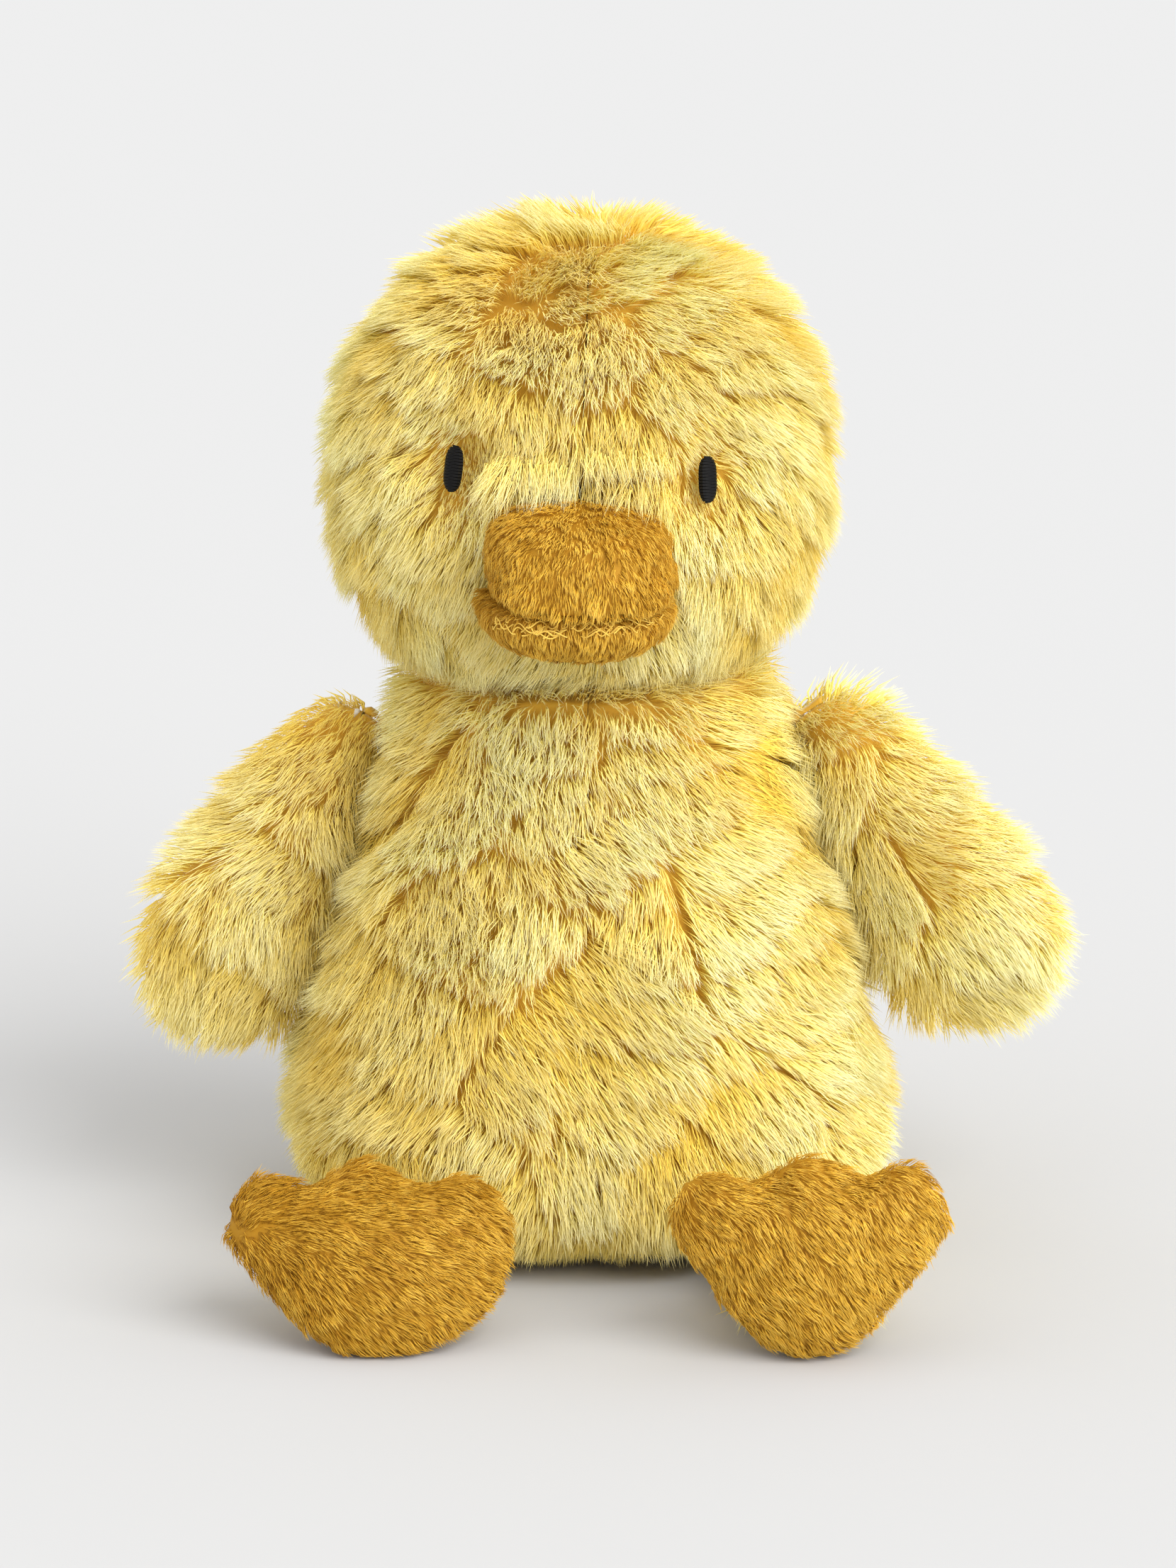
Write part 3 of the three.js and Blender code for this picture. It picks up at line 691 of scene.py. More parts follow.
def fleece_material(name, tint, grain):
    """Loose fibre or plain cotton, with a fine uneven surface."""
    made, nodes, links, shader = new_material(name)
    noise = uneven(nodes, links, shader, tint, 0.85, 0.3, grain)
    relief = nodes.new("ShaderNodeBump")
    set_inputs(noise, Detail=6)
    set_inputs(relief, Strength=0.5, Distance=0.6 * MM)
    set_inputs(shader, Roughness=0.95)
    links.new(noise.outputs["Fac"], relief.inputs["Height"])
    links.new(relief.outputs["Normal"], shader.inputs["Normal"])
    return made


def thread_material():
    """Black thread with a little shine."""
    made, nodes, links, shader = new_material("eye_stitching")
    uneven(nodes, links, shader, tuple(bpy.context.scene.chick_eyes.black), 0.5, 0.35, 1400)
    set_inputs(shader, Roughness=0.5, Specular_IOR_Level=0.25)
    return made


# Where things are


def centre(node):
    """The middle of a solid's box."""
    low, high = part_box(node)
    return (np.array(low) + np.array(high)) / 2


def node_axes(node):
    """The middle of a solid, and its long, middle and short axes."""
    points = places(frame["nodes"][node].data)
    middle = (points.min(0) + points.max(0)) / 2
    return middle, np.linalg.svd(points - points.mean(0), full_matrices=False)[2]


def wing_seam(side, out):
    """A point on the seam of a wing, and the way from the seam to the wing's tip."""
    joint = next(joint for joint in frame["joints"] if joint["name"] == f"wing_{side}_swing")
    x, y, z = joint["axis"]
    outward = np.array([-z, 0, x])
    return np.array(joint["pos_m"]), unit((outward * math.copysign(1, outward[0]) * out)[None])[0]


def beside(points, spot):
    """How far points are from a side and a height in millimetres, seen from the front."""
    return np.hypot(points[:, 0] - spot[0] * MM, points[:, 2] - spot[1] * MM)


def tilted(degrees):
    """Directions straight down that lean to the chick's left by these angles."""
    angle = np.radians(degrees)
    return np.stack([np.sin(angle), np.zeros(len(angle)), -np.cos(angle)], 1)


def fur_groom(pile=1.0, density=1.0, **changes):
    """The long pile. Where it grows more thinly its fibres are thicker."""
    fur = bpy.context.scene.chick_fur
    usual = Groom(fur.pile * pile, fur.fibre / density**0.6, fur.density * density, fur.tuft, fur.shear)
    return usual._replace(**changes)


def plush_groom(pile=1.0, density=1.0, **changes):
    """The short nap, which lies flatter and in finer strokes."""
    plush = bpy.context.scene.chick_plush
    usual = Groom(plush.pile * pile, plush.fibre, plush.density * density, plush.tuft)
    # A higher mottle: darker tufts paint the shade between the strokes.
    flat = usual._replace(lift=21, lay=3, turn=9, stray=7, tier=0.6, mottle=0.14)
    return flat._replace(lock_pull=0.12, tuft_pull=0.45)._replace(**changes)


# Pieces


class BodyCoat(Coat):
    """Down all round. The belly leans to the chick's left, most of all on the right of its chest."""

    TIER = 19 * MM
    TIER_SLOPE = 0.22
    HEM_TOP = 0.022
    HEM_FADE = 0.016
    FOLD_WIDTH = 4 * MM
    # Angles of lean all over, on the belly and on the right of the chest, and how far they wander
    LEAN = 8
    BELLY_LEAN = 14
    CHEST_LEAN = 16
    WANDER = 13

    def __init__(self):
        self.seams = [(*wing_seam(side, out), out) for side, out in SIDES]

    def flow(self, points):
        x, y, z = points.T
        spot, outward, _ = self.seams[1]
        inside = rise(-self.past_fold(points, spot, outward), 0, 0.016)
        chest = rise(z, 0.045, 0.1) * rise(-x, -0.012, 0.02) * inside
        belly = rise(z, 0.02, 0.055)
        tilt = rise(-y, 0, 0.03) * (self.LEAN + self.BELLY_LEAN * belly + self.CHEST_LEAN * chest)
        way = tilted(tilt + self.WANDER * waves(points, 0.06, 3))
        for spot, outward, out in self.seams:
            past = rise(self.past_fold(points, spot, outward), -0.002, 0.003)
            near = (past * rise(z, 0.05, 0.07))[:, None]
            way = way * (1 - near) + near * np.array([out * 0.45, 0, -0.8])
        return way

    @staticmethod
    def past_fold(points, spot, outward):
        """How far a point lies outside the fold between the chest and a wing."""
        return (points - spot) @ outward + 11 * MM * rise(points[:, 2], 0.062, 0.1)

    def fold(self, points):
        """1 in the folds beside the chest, and 0 away from them."""
        x, y, z = points.T
        depth = np.zeros(len(points))
        for spot, outward, out in self.seams:
            depth += bump(self.past_fold(points, spot, outward), self.FOLD_WIDTH) * (x * out > 0)
        return depth * rise(-y, 0.002, 0.01) * rise(z, 0.05, 0.065)

    def ridge(self, points):
        x, y, z = points.T
        neat = rise(x, 0, 0.02) * rise(-y, 0, 0.02)
        level = (z - self.TIER_SLOPE * x - 0.02) / self.TIER + (0.4 - 0.3 * neat) * waves(points, 0.05, 6)
        return (0.4 + 0.6 * neat) * rise(z, 0.015, 0.045) * (0.5 - (level - np.floor(level)))

    def hem(self, points):
        """1 at the lower edge of the body, where the fur is short and darker towards the floor, and 0 above
        it.
        """
        return rise(self.HEM_TOP - points[:, 2], 0, self.HEM_FADE)

    def trim(self, points):
        return 1 - 0.5 * self.hem(points)

    def tone(self, points):
        x, y, z = points.T
        # Painted shade along the centre parting, in the folds beside the wings and darker towards the floor
        # at the hem; painted light on the upper front. The waves are the fur's own patches.
        parting = bump(x - 0.001, 0.0025) * (y < 0) * rise(z, 0.06, 0.08)
        pale = 0.14 * waves(points, 0.035, 5) + 0.14 * rise(z, 0.06, 0.1) * rise(-y, 0, 0.02)
        return pale - 0.25 * parting - 0.55 * self.fold(points) - 0.25 * self.hem(points)


class SeatCoat(Coat):
    """Flattened outwards under the body's weight."""

    def flow(self, points):
        return points * np.array([1, 1, 0]) + np.array([0, 0.1 * MM, 0])


class CHICK_OT_body(bpy.types.Operator):
    """Sew the four quarters of the body and the seat under it"""

    bl_idname = "chick.body"
    bl_label = "Body"
    FILL = 0.75
    # How far the folds beside the chest are drawn in, as shares of the distance from the axis
    FOLD_SHARE = np.array([0.07, 0.07, 0])

    def execute(self, context):
        fur = context.scene.chick_fur
        nodes = [f"body_{end}_{side}" for end, _ in ENDS for side, _ in SIDES]
        nodes += ["seat_panel", "body_stuffing"]
        form = stuffed_form("body_form", nodes, 4.5 * MM, fur.skin, pressure=3, reach=2.5 * MM)
        coat = BodyCoat()
        points = places(form.data)
        place(form.data, points * (1 - self.FOLD_SHARE * coat.fold(points)[:, None]))
        locks = Locks(form, fur.lock, 1)
        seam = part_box("seat_panel")[1][2]
        seed = 10
        for end, ahead in ENDS:
            for side, out in SIDES:
                planes = [
                    ((out * SEAM_HALF, 0, 0), (out, 0, 0)),
                    ((0, ahead * SEAM_HALF, 0), (0, ahead, 0)),
                    ((0, 0, seam), (0, 0, 1)),
                ]
                groom = fur_groom(1, BODY_COVER[end])
                sew(f"body_{end}_{side}", "body", form, planes, groom, coat, locks, seed)
                seed += 1
        groom = fur_groom(0.35, 0.14, lift=20, lay=4)
        planes = [((0, 0, seam), (0, 0, -1))]
        sew("seat_panel", "body", form, planes, groom, SeatCoat(), locks, seed)
        bin_form(form)
        return {"FINISHED"}


class HeadCoat(Coat):
    """Down and forwards from the crown, brushed this way and that, and parted around the eyes."""

    # Places on the face, as side and height in millimetres, and how far the fur leans to its left there.
    BRUSHED = (
        (-38, 190, -36),
        (-24, 195, -8),
        (-7, 188, 4),
        (14, 190, 20),
        (28, 191, 34),
        (42, 173, 35),
        (21, 182, 34),
        (-17, 180, 5),
        (0, 173, -18),
        (-10, 165, -8),
        (9, 165, 10),
        (-34, 167, -45),
        (-36, 150, -20),
        (-38, 133, 0),
        (25, 147, 5),
        (40, 157, 25),
    )
    BRUSH = 14 * MM
    EYE_PARTING = 8 * MM
    FRINGE_MIDDLE = -2 * MM
    FRINGE_HALF = 0.018
    FOREHEAD = 0.178
    # Degrees that fibres are raised, for the fringe those of the lower and the upper half
    FRINGE_RAISED = (46, 12)
    CROWN_RAISED = 8
    PARTING_RAISED = 8

    def __init__(self, eyes):
        self.eyes = eyes
        self.crown = np.array([4 * MM, 16 * MM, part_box("face_left")[1][2]])
        self.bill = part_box("bill_upper")

    def flow(self, points):
        x, y, z = points.T
        face = rise(-y, 0, 0.02)
        total = np.full(len(points), 0.08)
        tilt = total * 20 * np.clip(x / 0.03, -1, 1)
        for side, height, degrees in self.BRUSHED:
            near = bump(beside(points, (side, height)), self.BRUSH)
            total += near
            tilt += near * degrees
        tilt = face * tilt / total + 10 * waves(points, 0.038, 7)
        fringe = self.over_bill(points)
        tilt = tilt * (1 - fringe) - 14 * fringe * (x - self.FRINGE_MIDDLE) / self.FRINGE_HALF
        away = (points - self.crown) * [1, 1, 0]
        way = tilted(tilt) + 12 * away * (1 - 0.5 * face)[:, None] + np.array([0, -0.3, 0]) * face[:, None]
        for eye in self.eyes:
            gap = points - eye
            near = bump(np.linalg.norm(gap, axis=1), self.EYE_PARTING)[:, None]
            way = way * (1 - near) + unit(gap * [1.6, 1, 1] - UP * MM) * near
        return way

    def trim(self, points):
        size = np.ones(len(points))
        for eye in self.eyes:
            gap = points - eye
            far = np.linalg.norm(gap, axis=1)
            steep = gap[:, 2] / np.maximum(far, 1e-9)
            oval = (2.5 + 2.6 * steep**2) * MM
            room = (7 + 6 * rise(steep, -0.2, 0.6)) * MM
            size = np.minimum(size, np.clip((far - oval) / room, 0, 1) ** 0.9)
        return size * (1 + 0.6 * self.over_bill(points))

    def over_bill(self, points):
        """1 in the fringe that hangs over the bill, and 0 away from it."""
        x, y, z = points.T
        above = z - self.bill[1][2]
        ahead = rise(self.FRINGE_HALF - np.abs(x - self.FRINGE_MIDDLE), 0, 0.004) * (y < 0)
        return ahead * rise(-above, -9 * MM, -4 * MM) * rise(above, -4 * MM, -1 * MM)

    def raised(self, points):
        fringe = self.over_bill(points)
        crown = self.CROWN_RAISED * bump(np.linalg.norm(points - self.crown, axis=1), 16 * MM)
        step = np.array([3 * MM, 0, 0])
        spread = unit(self.flow(points + step)) - unit(self.flow(points - step))
        parted = self.PARTING_RAISED * rise(spread[:, 0], 0.15, 0.7) * (1 - fringe)
        return [degrees * fringe + crown + parted for degrees in self.FRINGE_RAISED]

    def tone(self, points):
        x, y, z = points.T
        # Painted light paler on the forehead, and painted shade in the dent beside the outer side of each
        # eye; the waves are the fur's own patches.
        forehead_light = bump(np.hypot(x, z - self.FOREHEAD), 0.02) * (y < 0)
        shade = 0.2 * waves(points, 0.03, 8) + 0.16 * forehead_light
        for eye, out in zip(self.eyes, (1, -1)):
            gap = points - eye - np.array([out * 5, 0, 0]) * MM
            shade -= 0.35 * bump(np.linalg.norm(gap, axis=1), 6 * MM)
        return shade


class CHICK_OT_head(bpy.types.Operator):
    """Sew the face and the back of the head"""

    bl_idname = "chick.head"
    bl_label = "Head"

    def execute(self, context):
        fur = context.scene.chick_fur
        nodes = ["face_left", "face_right", "head_back_left", "head_back_right", "head_stuffing"]
        form = stuffed_form("head_form", nodes, 4.5 * MM, fur.skin, pressure=3, reach=2.5 * MM, smooth=6)
        eyes = [centre("eye_left"), centre("eye_right")]
        across = unit((eyes[0] - eyes[1])[None])[0]
        middle = (eyes[0] + eyes[1]) / 2
        self.dent(form, eyes)
        coat = HeadCoat(eyes)
        locks = Locks(form, 0.6 * fur.lock, 2)
        seed = 30
        for (end, ahead), part in zip(ENDS, ("face", "head_back")):
            for side, out in SIDES:
                planes = [
                    (middle + out * SEAM_HALF * across, out * across),
                    ((0, ahead * SEAM_HALF, 0), (0, ahead, 0)),
                ]
                groom = fur_groom(1, COVER[end], turn=18)
                sew(f"{part}_{side}", "head", form, planes, groom, coat, locks, seed)
                seed += 1
        bin_form(form)
        return {"FINISHED"}

    @staticmethod
    def dent(form, eyes):
        """Draws the cloth in where each eye is stitched down."""
        points = places(form.data)
        for eye in eyes:
            near = bump(np.linalg.norm(points - eye, axis=1), 7 * MM)
            points += unit(-(eye * [1, 1, 0])[None]) * (1.5 * MM * near)[:, None]
        place(form.data, points)


class BillCoat(Coat):
    """Strokes that run down and a little outwards, with painted shade in the tucks of the mouth and under the
    lip.
    """

    def __init__(self):
        self.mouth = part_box("bill_upper")[0][2]
        self.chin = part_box("bill_lower")[0][2]

    def flow(self, points):
        return np.stack([points[:, 0] / 0.045, np.full(len(points), -0.3), -np.ones(len(points))], 1)

    def tone(self, points):
        x, y, z = points.T
        # Painted shade in the tucks at the corners of the mouth and under the lip; the waves are the nap's
        # own patches.
        tuck = rise(np.abs(x), 0.013, 0.02) * bump(z - self.mouth - 2 * MM, 4 * MM)
        return 0.12 * waves(points, 0.006, 9) - 0.45 * tuck - 0.3 * rise(self.chin + 4 * MM - z, 0, 4 * MM)


class CHICK_OT_bill(bpy.types.Operator):
    """Sew the bill's stuffed dome and its lower lip"""

    bl_idname = "chick.bill"
    bl_label = "Bill"
    THREADS = 44
    THREAD = 0.26 * MM

    def execute(self, context):
        plush = context.scene.chick_plush
        lobes = (("bill_upper", ["bill_upper", "bill_stuffing"]), ("bill_lower", ["bill_lower"]))
        for seed, (node, nodes) in enumerate(lobes, 50):
            form = stuffed_form(node + "_form", nodes, 1.5 * MM, plush.skin, pressure=3, reach=1 * MM)
            if node == "bill_upper":
                self.square_mouth(form)
            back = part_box(node)[1][1] - 0.5 * MM
            panel = cut_panel(node, form, [((0, back, 0), (0, -1, 0))])
            locks = Locks(form, plush.lock, seed)
            piles = [grow(panel, plush_groom(0.7, lift=30), BillCoat(), locks, seed)]
            if node == "bill_lower":
                piles.append(self.loose_threads(panel))
            dress(panel, node, "head", piles)
            bin_form(form)
        return {"FINISHED"}

    def loose_threads(self, panel):
        """Curly ends of thread along the mouth, where the lip is sewn on."""
        draw = np.random.default_rng(57)
        spots, normals = Surface(panel).scatter(6, draw)
        top = spots[:, 2].max()
        edge = (spots[:, 2] > top - 3.4 * MM) & (normals[:, 1] < -0.35)
        points, faces = [], []
        for spot, normal in list(zip(spots[edge], normals[edge]))[: self.THREADS]:
            along = np.cross(UP, normal)
            along /= np.linalg.norm(along)
            upward = np.cross(normal, along)
            half, curl, first, second = draw.uniform([1.2, 2.2, 0, 0], [3, 4.2, 6, 6])
            share = np.linspace(-1, 1, 13)[:, None]
            path = spot + along * half * MM * share + upward * 0.7 * MM * np.sin(curl * share + first)
            path = path + normal * MM * (0.9 + 0.5 * np.cos(0.7 * curl * share + second))
            tube(points, faces, path, self.THREAD / 2, normal, 4)
        threads = solid("mouth_threads", points, faces)
        set_maps(threads.data, draw.uniform([0.8, 0.9], [0.98, 0.98], (len(threads.data.loops), 2)))
        return threads

    @staticmethod
    def square_mouth(form):
        """Keeps the dome wide down to the mouth, where its edge is sewn flat."""
        points = places(form.data)
        low, high = points.min(0), points.max(0)
        middle = (low[0] + high[0]) / 2
        depth = np.clip(1 - (points[:, 2] - low[2]) / (0.5 * (high[2] - low[2])), 0, 0.99)
        wider = (1 - depth**6) ** (1 / 6) / (1 - depth**2.2) ** (1 / 2.2)
        points[:, 0] = middle + (points[:, 0] - middle) * np.minimum(wider, 2.4)
        place(form.data, points)


class CHICK_OT_eyes(bpy.types.Operator):
    """Stitch the two eyes in rows of black thread"""

    bl_idname = "chick.eyes"
    bl_label = "Eyes"
    # The pad under the thread, as a share of its solid
    PAD = 0.9

    def execute(self, context):
        eyes = context.scene.chick_eyes
        finish = thread_material()
        for side, _ in SIDES:
            node = "eye_" + side
            pad = node_copy(node)
            modify(pad, "SUBSURF", levels=1, render_levels=1)
            place(pad.data, centre(node) + self.PAD * (places(pad.data) - centre(node)))
            threads = self.threads(node, eyes.rows, eyes.thread)
            piece = joined(node + "_sewn", [pad, threads])
            finished(piece, node, "head", finish)
        return {"FINISHED"}

    @staticmethod
    def threads(node, rows, thick):
        """Rows of thread laid side by side over the oval pad."""
        middle, (tall, wide, out) = node_axes(node)
        out = out if out[1] < 0 else -out
        tall = tall if tall[2] > 0 else -tall
        wide = np.cross(tall, out)
        low = places(frame["nodes"][node].data) - middle
        half = np.abs(low @ np.stack([tall, wide, out], 1)).max(0)
        points, faces = [], []
        for row in range(rows):
            height = (2 * (row + 0.5) / rows - 1) * half[0]
            reach = 0.87 * half[1] * (1 - abs(height / half[0]) ** 3.4) ** 0.5
            path = []
            for share in np.linspace(-1, 1, 9):
                bulge = half[2] * math.sqrt(max(0, (1 - (height / half[0]) ** 2) * (1 - share**2)))
                slant = 0.12 * thick * (-1) ** row * share
                path.append(middle + tall * (height + slant) + wide * reach * share + out * bulge)
            tube(points, faces, np.array(path), thick / 2, out)
        return solid(node + "_threads", points, faces)


def solid(name, points, faces):
    """An object with these points and faces."""
    mesh = bpy.data.meshes.new(name)
    mesh.from_pydata(points, [], faces)
    return linked(name, mesh)


def tube(points, faces, path, radius, facing, sides=6):
    """Adds a closed round tube along a path to lists of points and faces."""
    first = len(points)
    ways = unit(np.gradient(path, axis=0))
    across = unit(np.cross(ways, np.tile(facing, (len(path), 1))))
    upward = np.cross(ways, across)
    for spot, side_way, up_way in zip(path, across, upward):
        for side in range(sides):
            turn = 2 * math.pi * side / sides
            points.append(tuple(spot + radius * (side_way * math.cos(turn) + up_way * math.sin(turn))))
    for ring in range(len(path) - 1):
        low = first + ring * sides
        for side in range(sides):
            after = (side + 1) % sides
            faces.append((low + side, low + after, low + sides + after, low + sides + side))
    faces.append(tuple(first + side for side in reversed(range(sides))))
    last = first + (len(path) - 1) * sides
    faces.append(tuple(last + side for side in range(sides)))


class WingCoat(Coat):
    """Along the wing to its tip, and more outwards at the shoulder."""

    LEAN = 28
    SHOULDER_LEAN = 30

    def __init__(self, side, out):
        self.spot, self.outward = wing_seam(side, out)
        self.out = out

    def gap(self, points):
        """How far each point is from the seam."""
        return (points - self.spot) @ self.outward

    def flow(self, points):
        tilt = self.out * (self.LEAN + self.SHOULDER_LEAN * bump(self.gap(points), 0.015))
        root = (bump(self.gap(points), 3.5 * MM) * rise(points[:, 2], 0.097, 0.108))[:, None]
        way = tilted(tilt + 16 * waves(points, 0.045, 12))
        return way * (1 - root) + root * (0.6 * UP - self.outward)

    def raised(self, points):
        shoulder = 6 * bump(self.gap(points), 0.016) * rise(points[:, 2], 0.085, 0.105)
        return shoulder, shoulder

    def tone(self, points):
        # Painted shade along the inner edge, in the fold by the body, and painted light over the whole left
        # wing, on the key light's side; the waves are the fur's own patches.
        inner = bump(self.gap(points), 5 * MM) * rise(0.1 - points[:, 2], 0, 0.02)
        return 0.12 * waves(points, 0.03, 11) - 0.35 * inner + (0.12 if self.out > 0 else 0)


class CHICK_OT_wings(bpy.types.Operator):
    """Sew the front and the back of each wing"""

    bl_idname = "chick.wings"
    bl_label = "Wings"

    def execute(self, context):
        fur = context.scene.chick_fur
        seed = 60
        for side, out in SIDES:
            body = "wing_" + side
            nodes = [f"{body}_{part}" for part in ("front", "back", "stuffing")]
            form = stuffed_form(body + "_form", nodes, 2.5 * MM, fur.skin * 0.5, pressure=4, reach=2 * MM)
            self.reach_seam(form, *wing_seam(side, out))
            coat = WingCoat(side, out)
            locks = Locks(form, 0.8 * fur.lock, seed)
            for end, ahead in ENDS:
                planes = [((0, ahead * SEAM_HALF, 0), (0, ahead, 0))]
                groom = fur_groom(0.95, COVER[end])
                sew(f"{body}_{end}", body, form, planes, groom, coat, locks, seed)
                seed += 1
            bin_form(form)
        return {"FINISHED"}

    @staticmethod
    def reach_seam(form, spot, outward):
        """Stretches the root of a wing to its seam, rounds the shoulder and lowers the end of the root."""
        points = places(form.data)
        gap = (points - spot) @ outward
        short = gap.min() - 0.5 * MM
        points -= outward * (short * bump(gap - gap.min(), 10 * MM))[:, None]
        gap = gap - gap.min()
        shoulder = bump(gap, 24 * MM) * rise(gap, 2 * MM, 12 * MM) * rise(points[:, 2], 0.085, 0.105)
        nub = bump(gap, 7 * MM) * rise(points[:, 2], 0.098, 0.108)
        points += UP * (3.5 * MM * shoulder - 6 * MM * nub)[:, None]
        place(form.data, points)


class LegCoat(Coat):
    """Forwards to the foot."""

    def flow(self, points):
        return np.tile([0, -1, -0.2], (len(points), 1))


class CHICK_OT_legs(bpy.types.Operator):
    """Sew the two short legs"""

    bl_idname = "chick.legs"
    bl_label = "Legs"
    # How much of each end stays open, where the leg is sewn to the body and to the foot
    END = 4 * MM

    def execute(self, context):
        fur = context.scene.chick_fur
        for seed, (side, _) in enumerate(SIDES, 70):
            node = f"leg_{side}_cover"
            nodes = [node, f"leg_{side}_stuffing"]
            form = stuffed_form(node + "_form", nodes, 2.5 * MM, fur.skin * 0.7, pressure=3, reach=1 * MM)
            low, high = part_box(node)
            planes = [((0, high[1] - self.END, 0), (0, -1, 0)), ((0, low[1] + self.END, 0), (0, 1, 0))]
            groom = fur_groom(0.75, 0.5, lift=46, lay=26, stray=16)
            locks = Locks(form, 0.6 * fur.lock, seed)
            sew(node, "leg_" + side, form, planes, groom, LegCoat(), locks, seed)
            bin_form(form)
        return {"FINISHED"}


# The side and the height of the dent in the outer toe of the right foot, in millimetres
TOE_DENT = (-59, 31)


class FootCoat(Coat):
    """Slanting down to the chick's left. On its right foot the strokes fan out from the outer toe."""

    def __init__(self, side, middle):
        self.fan = middle + np.array([-24, 0, 4]) * MM if side == "right" else None

    def flow(self, points):
        if self.fan is None:
            return tilted(34 + 10 * waves(points, 0.02, 14))
        return tilted(25 + 10 * waves(points, 0.02, 15)) + 1.3 * unit((points - self.fan) * [1, 0, 1])

    def tone(self, points):
        # The right foot is darker all over as painted shade, on the side away from the key light, with more
        # painted shade in the dent of its outer toe; the waves are the nap's own patches.
        usual = 0.1 * waves(points, 0.008, 13)
        if self.fan is None:
            return usual
        return usual - 0.3 - 0.4 * bump(beside(points, TOE_DENT), 4.5 * MM)


class CHICK_OT_feet(bpy.types.Operator):
    """Sew the sole and the upper of each webbed foot"""

    bl_idname = "chick.feet"
    bl_label = "Feet"

    def execute(self, context):
        plush = context.scene.chick_plush
        seed = 80
        for side, _ in SIDES:
            foot = "foot_" + side
            nodes = [f"{foot}_{part}" for part in ("sole", "upper", "stuffing")]
            form = stuffed_form(foot + "_form", nodes, 1.6 * MM, plush.skin, pressure=4, reach=1.6 * MM)
            self.fill_out(form, side)
            middle, axes = node_axes(foot + "_stuffing")
            ahead = axes[2] if axes[2][1] < 0 else -axes[2]
            coat = FootCoat(side, middle)
            locks = Locks(form, plush.lock, seed)
            for part, sign, density in (("sole", 1, 1), ("upper", -1, 0.6)):
                planes = [(middle + sign * SEAM_HALF * ahead, sign * ahead)]
                groom = plush_groom(1, density)
                sew(f"{foot}_{part}", "leg_" + side, form, planes, groom, coat, locks, seed)
                seed += 1
            bin_form(form)
        return {"FINISHED"}

    @staticmethod
    def fill_out(form, side):
        """Rounds out the full edges and dents the outer toe: place, push and width in millimetres."""
        pushes = {
            "left": (((58, 38), (0, 0, 2.5), 8),),
            "right": (
                ((-25, 13), (5, 0, -4.5), 13),
                ((-28, 41), (0, 0, 2.5), 8),
                ((-66, 37), (0, 0, 3), 8),
                (TOE_DENT, (0, 3, 0), 5),
            ),
        }
        points = places(form.data)
        for spot, push, width in pushes[side]:
            points += bump(beside(points, spot), width * MM)[:, None] * np.array(push) * MM
        place(form.data, points)


class CHICK_OT_filling(bpy.types.Operator):
    """Fill the chick with loose fibre and a pouch of pellets"""

    bl_idname = "chick.filling"
    bl_label = "Filling"

    def execute(self, context):
        fills = {"body_stuffing": "body", "head_stuffing": "head", "bill_stuffing": "head"}
        for side, _ in SIDES:
            fills[f"wing_{side}_stuffing"] = "wing_" + side
            fills[f"leg_{side}_stuffing"] = "leg_" + side
            fills[f"foot_{side}_stuffing"] = "leg_" + side
        fleece = fleece_material("loose_fibre", linear("#f3efe6"), 260)
        for node, body in fills.items():
            voxel = min(6 * MM, min(frame["nodes"][node].dimensions) / 5)
            depth = self.depth(node)
            form = stuffed_form(node + "_filled", [node], voxel, depth, pressure=2, reach=0.6 * MM)
            finished(form, node, body, fleece)
        cotton = fleece_material("pouch_cotton", linear("#e6dcc4"), 900)
        nodes = ["pellet_pouch"]
        pouch = stuffed_form("pellet_pouch_filled", nodes, 3 * MM, 1 * MM, pressure=3, reach=0.8 * MM)
        finished(pouch, "pellet_pouch", "body", cotton)
        return {"FINISHED"}

    @staticmethod
    def depth(node):
        """How far a filling lies inside its solid: under long pile the cloth lies deeper."""
        return 0.8 * MM if node.startswith(("bill", "foot", "leg")) else 3 * MM


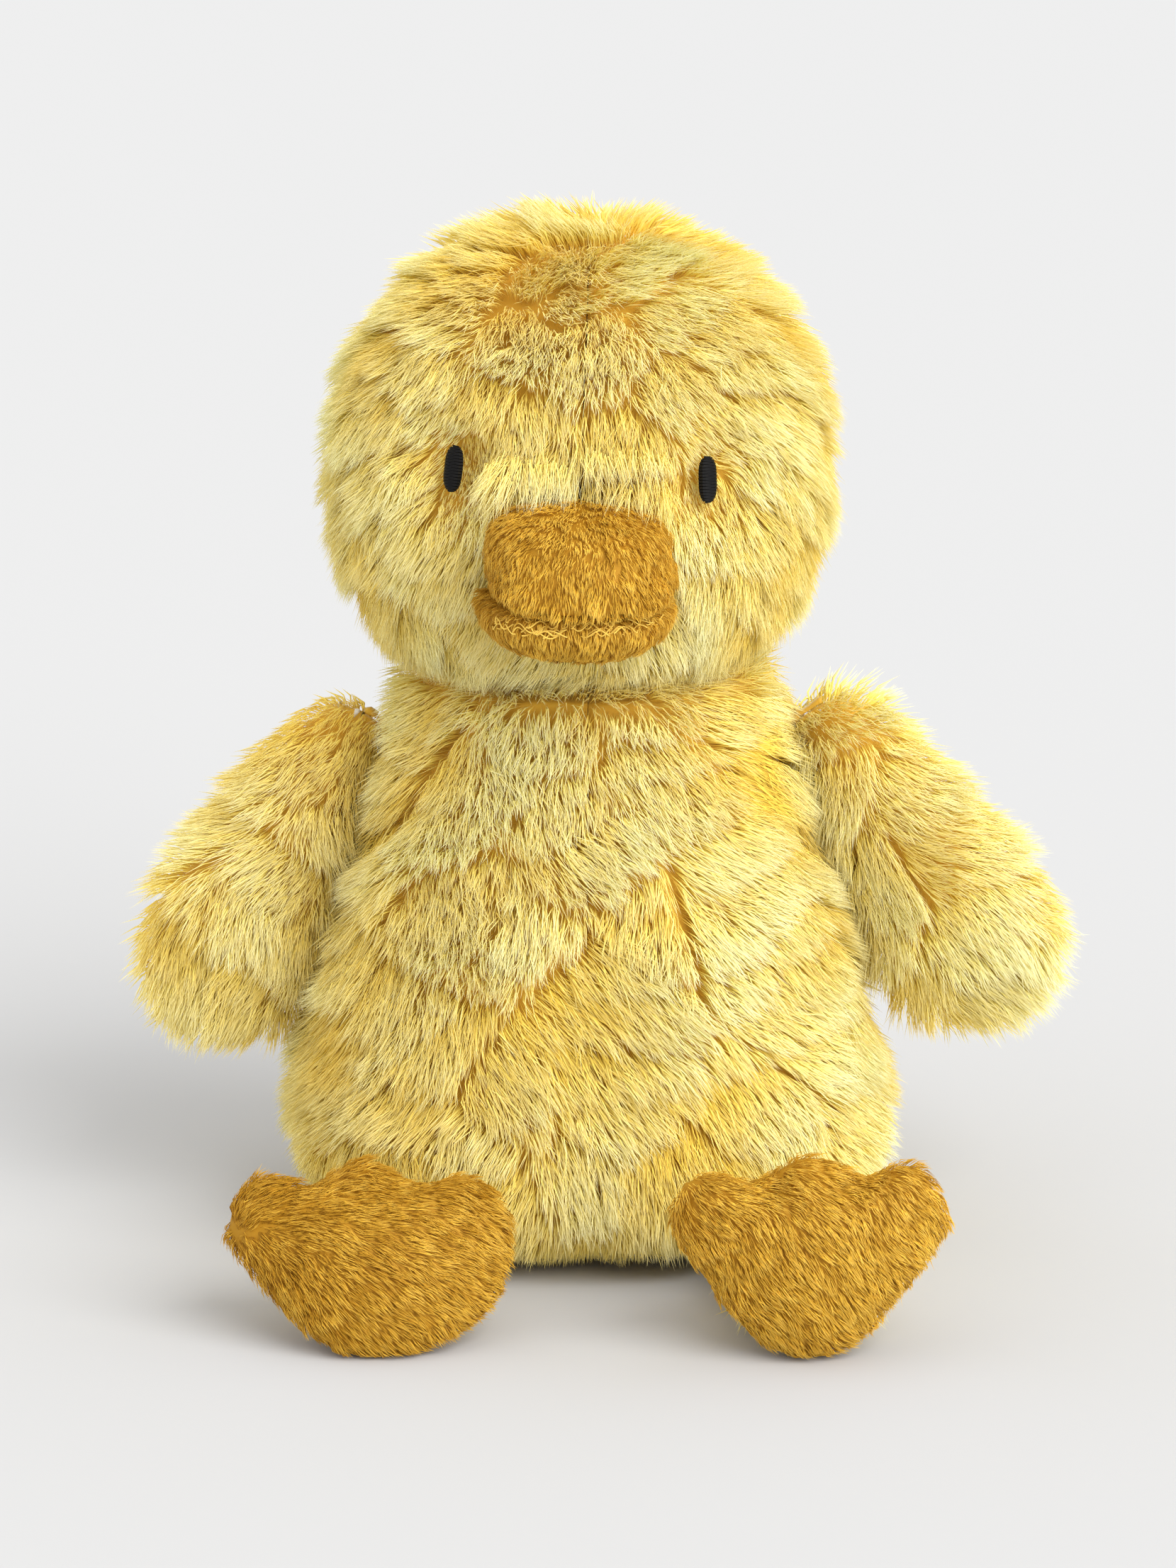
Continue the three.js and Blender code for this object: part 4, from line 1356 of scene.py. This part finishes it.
class CHICK_OT_stage(bpy.types.Operator):
    """Set the floor, the light and the camera"""

    bl_idname = "chick.stage"
    bl_label = "Stage"
    FLOOR_SIZE = 60
    KEY_WAY = Vector((-0.54, 0.62, -0.57))
    KEY_SPREAD = math.radians(50)

    def execute(self, context):
        stage = context.scene.chick_stage
        self.floor(stage)
        self.world(context.scene, stage)
        self.key_light(stage)
        self.camera(context.scene, stage)
        context.scene.view_settings.view_transform = "Standard"
        return {"FINISHED"}

    def floor(self, stage):
        """A wide pale floor just under the chick."""
        bpy.ops.object.select_all(action="DESELECT")
        bpy.ops.mesh.primitive_plane_add(size=self.FLOOR_SIZE, location=(0, 0, -0.2 * MM))
        floor = bpy.context.active_object
        floor.name = "floor"
        made, nodes, links, shader = new_material("pale_floor")
        set_inputs(shader, Base_Color=(*stage.ground, 1), Roughness=0.9, Specular_IOR_Level=0)
        floor.data.materials.append(made)

    @staticmethod
    def world(scene, stage):
        """Even light from all around, and the backdrop's colour where the camera looks past the floor."""
        world = bpy.data.worlds.new("studio")
        world.use_nodes = True
        nodes, links = world.node_tree.nodes, world.node_tree.links
        light = nodes["Background"]
        set_inputs(light, Color=(1, 1, 1, 1), Strength=stage.sky)
        seen = nodes.new("ShaderNodeBackground")
        set_inputs(seen, Color=(*stage.backdrop, 1))
        path = nodes.new("ShaderNodeLightPath")
        glossy = nodes.new("ShaderNodeMath")
        clear = nodes.new("ShaderNodeMath")
        glossy.operation = clear.operation = "MAXIMUM"
        links.new(path.outputs["Is Camera Ray"], glossy.inputs[0])
        links.new(path.outputs["Is Glossy Ray"], glossy.inputs[1])
        links.new(glossy.outputs[0], clear.inputs[0])
        links.new(path.outputs["Is Transmission Ray"], clear.inputs[1])
        mix = nodes.new("ShaderNodeMixShader")
        links.new(clear.outputs[0], mix.inputs["Fac"])
        links.new(light.outputs[0], mix.inputs[1])
        links.new(seen.outputs[0], mix.inputs[2])
        links.new(mix.outputs[0], nodes["World Output"].inputs["Surface"])
        scene.world = world

    def key_light(self, stage):
        """One soft lamp from the front, high on the chick's left."""
        lamp = bpy.data.lights.new("key_light", "SUN")
        lamp.energy = stage.sun
        lamp.angle = self.KEY_SPREAD
        linked("key_light", lamp).rotation_euler = self.KEY_WAY.to_track_quat("-Z", "Y").to_euler()

    @staticmethod
    def camera(scene, stage):
        data = bpy.data.cameras.new("camera")
        data.sensor_fit = "VERTICAL"
        data.sensor_height = 36
        data.lens = data.sensor_height * stage.distance / stage.view
        camera = linked("camera", data)
        back = Vector((0, -math.cos(stage.elevation), math.sin(stage.elevation)))
        camera.location = Vector((0, 0, stage.target)) + back * stage.distance
        camera.rotation_euler = (-back).to_track_quat("-Z", "Y").to_euler()
        scene.camera = camera


PIECES = (
    CHICK_OT_body,
    CHICK_OT_head,
    CHICK_OT_bill,
    CHICK_OT_eyes,
    CHICK_OT_wings,
    CHICK_OT_legs,
    CHICK_OT_feet,
    CHICK_OT_filling,
    CHICK_OT_stage,
)


class CHICK_PT_panel(bpy.types.Panel):
    """Lists the chick's pieces and their settings"""

    bl_idname = "CHICK_PT_panel"
    bl_label = "Plush chick"
    bl_space_type = "VIEW_3D"
    bl_region_type = "UI"
    bl_category = "Chick"

    def draw(self, context):
        for piece in PIECES:
            self.layout.operator(piece.bl_idname)
        for name in SETTINGS:
            group = getattr(context.scene, name)
            box = self.layout.box()
            for prop in group.bl_rna.properties.keys():
                if prop not in ("rna_type", "name"):
                    box.prop(group, prop)


def register():
    for name, group in SETTINGS.items():
        bpy.utils.register_class(group)
        setattr(bpy.types.Scene, name, PointerProperty(type=group))
    for piece in PIECES + (CHICK_PT_panel,):
        bpy.utils.register_class(piece)


def unregister():
    for piece in reversed(PIECES + (CHICK_PT_panel,)):
        bpy.utils.unregister_class(piece)
    for name, group in SETTINGS.items():
        delattr(bpy.types.Scene, name)
        bpy.utils.unregister_class(group)


def main():
    register()
    bpy.ops.chick.stage()
    bpy.ops.chick.body()
    bpy.ops.chick.head()
    bpy.ops.chick.bill()
    bpy.ops.chick.eyes()
    bpy.ops.chick.wings()
    bpy.ops.chick.legs()
    bpy.ops.chick.feet()
    bpy.ops.chick.filling()


if __name__ == "__main__":
    main()
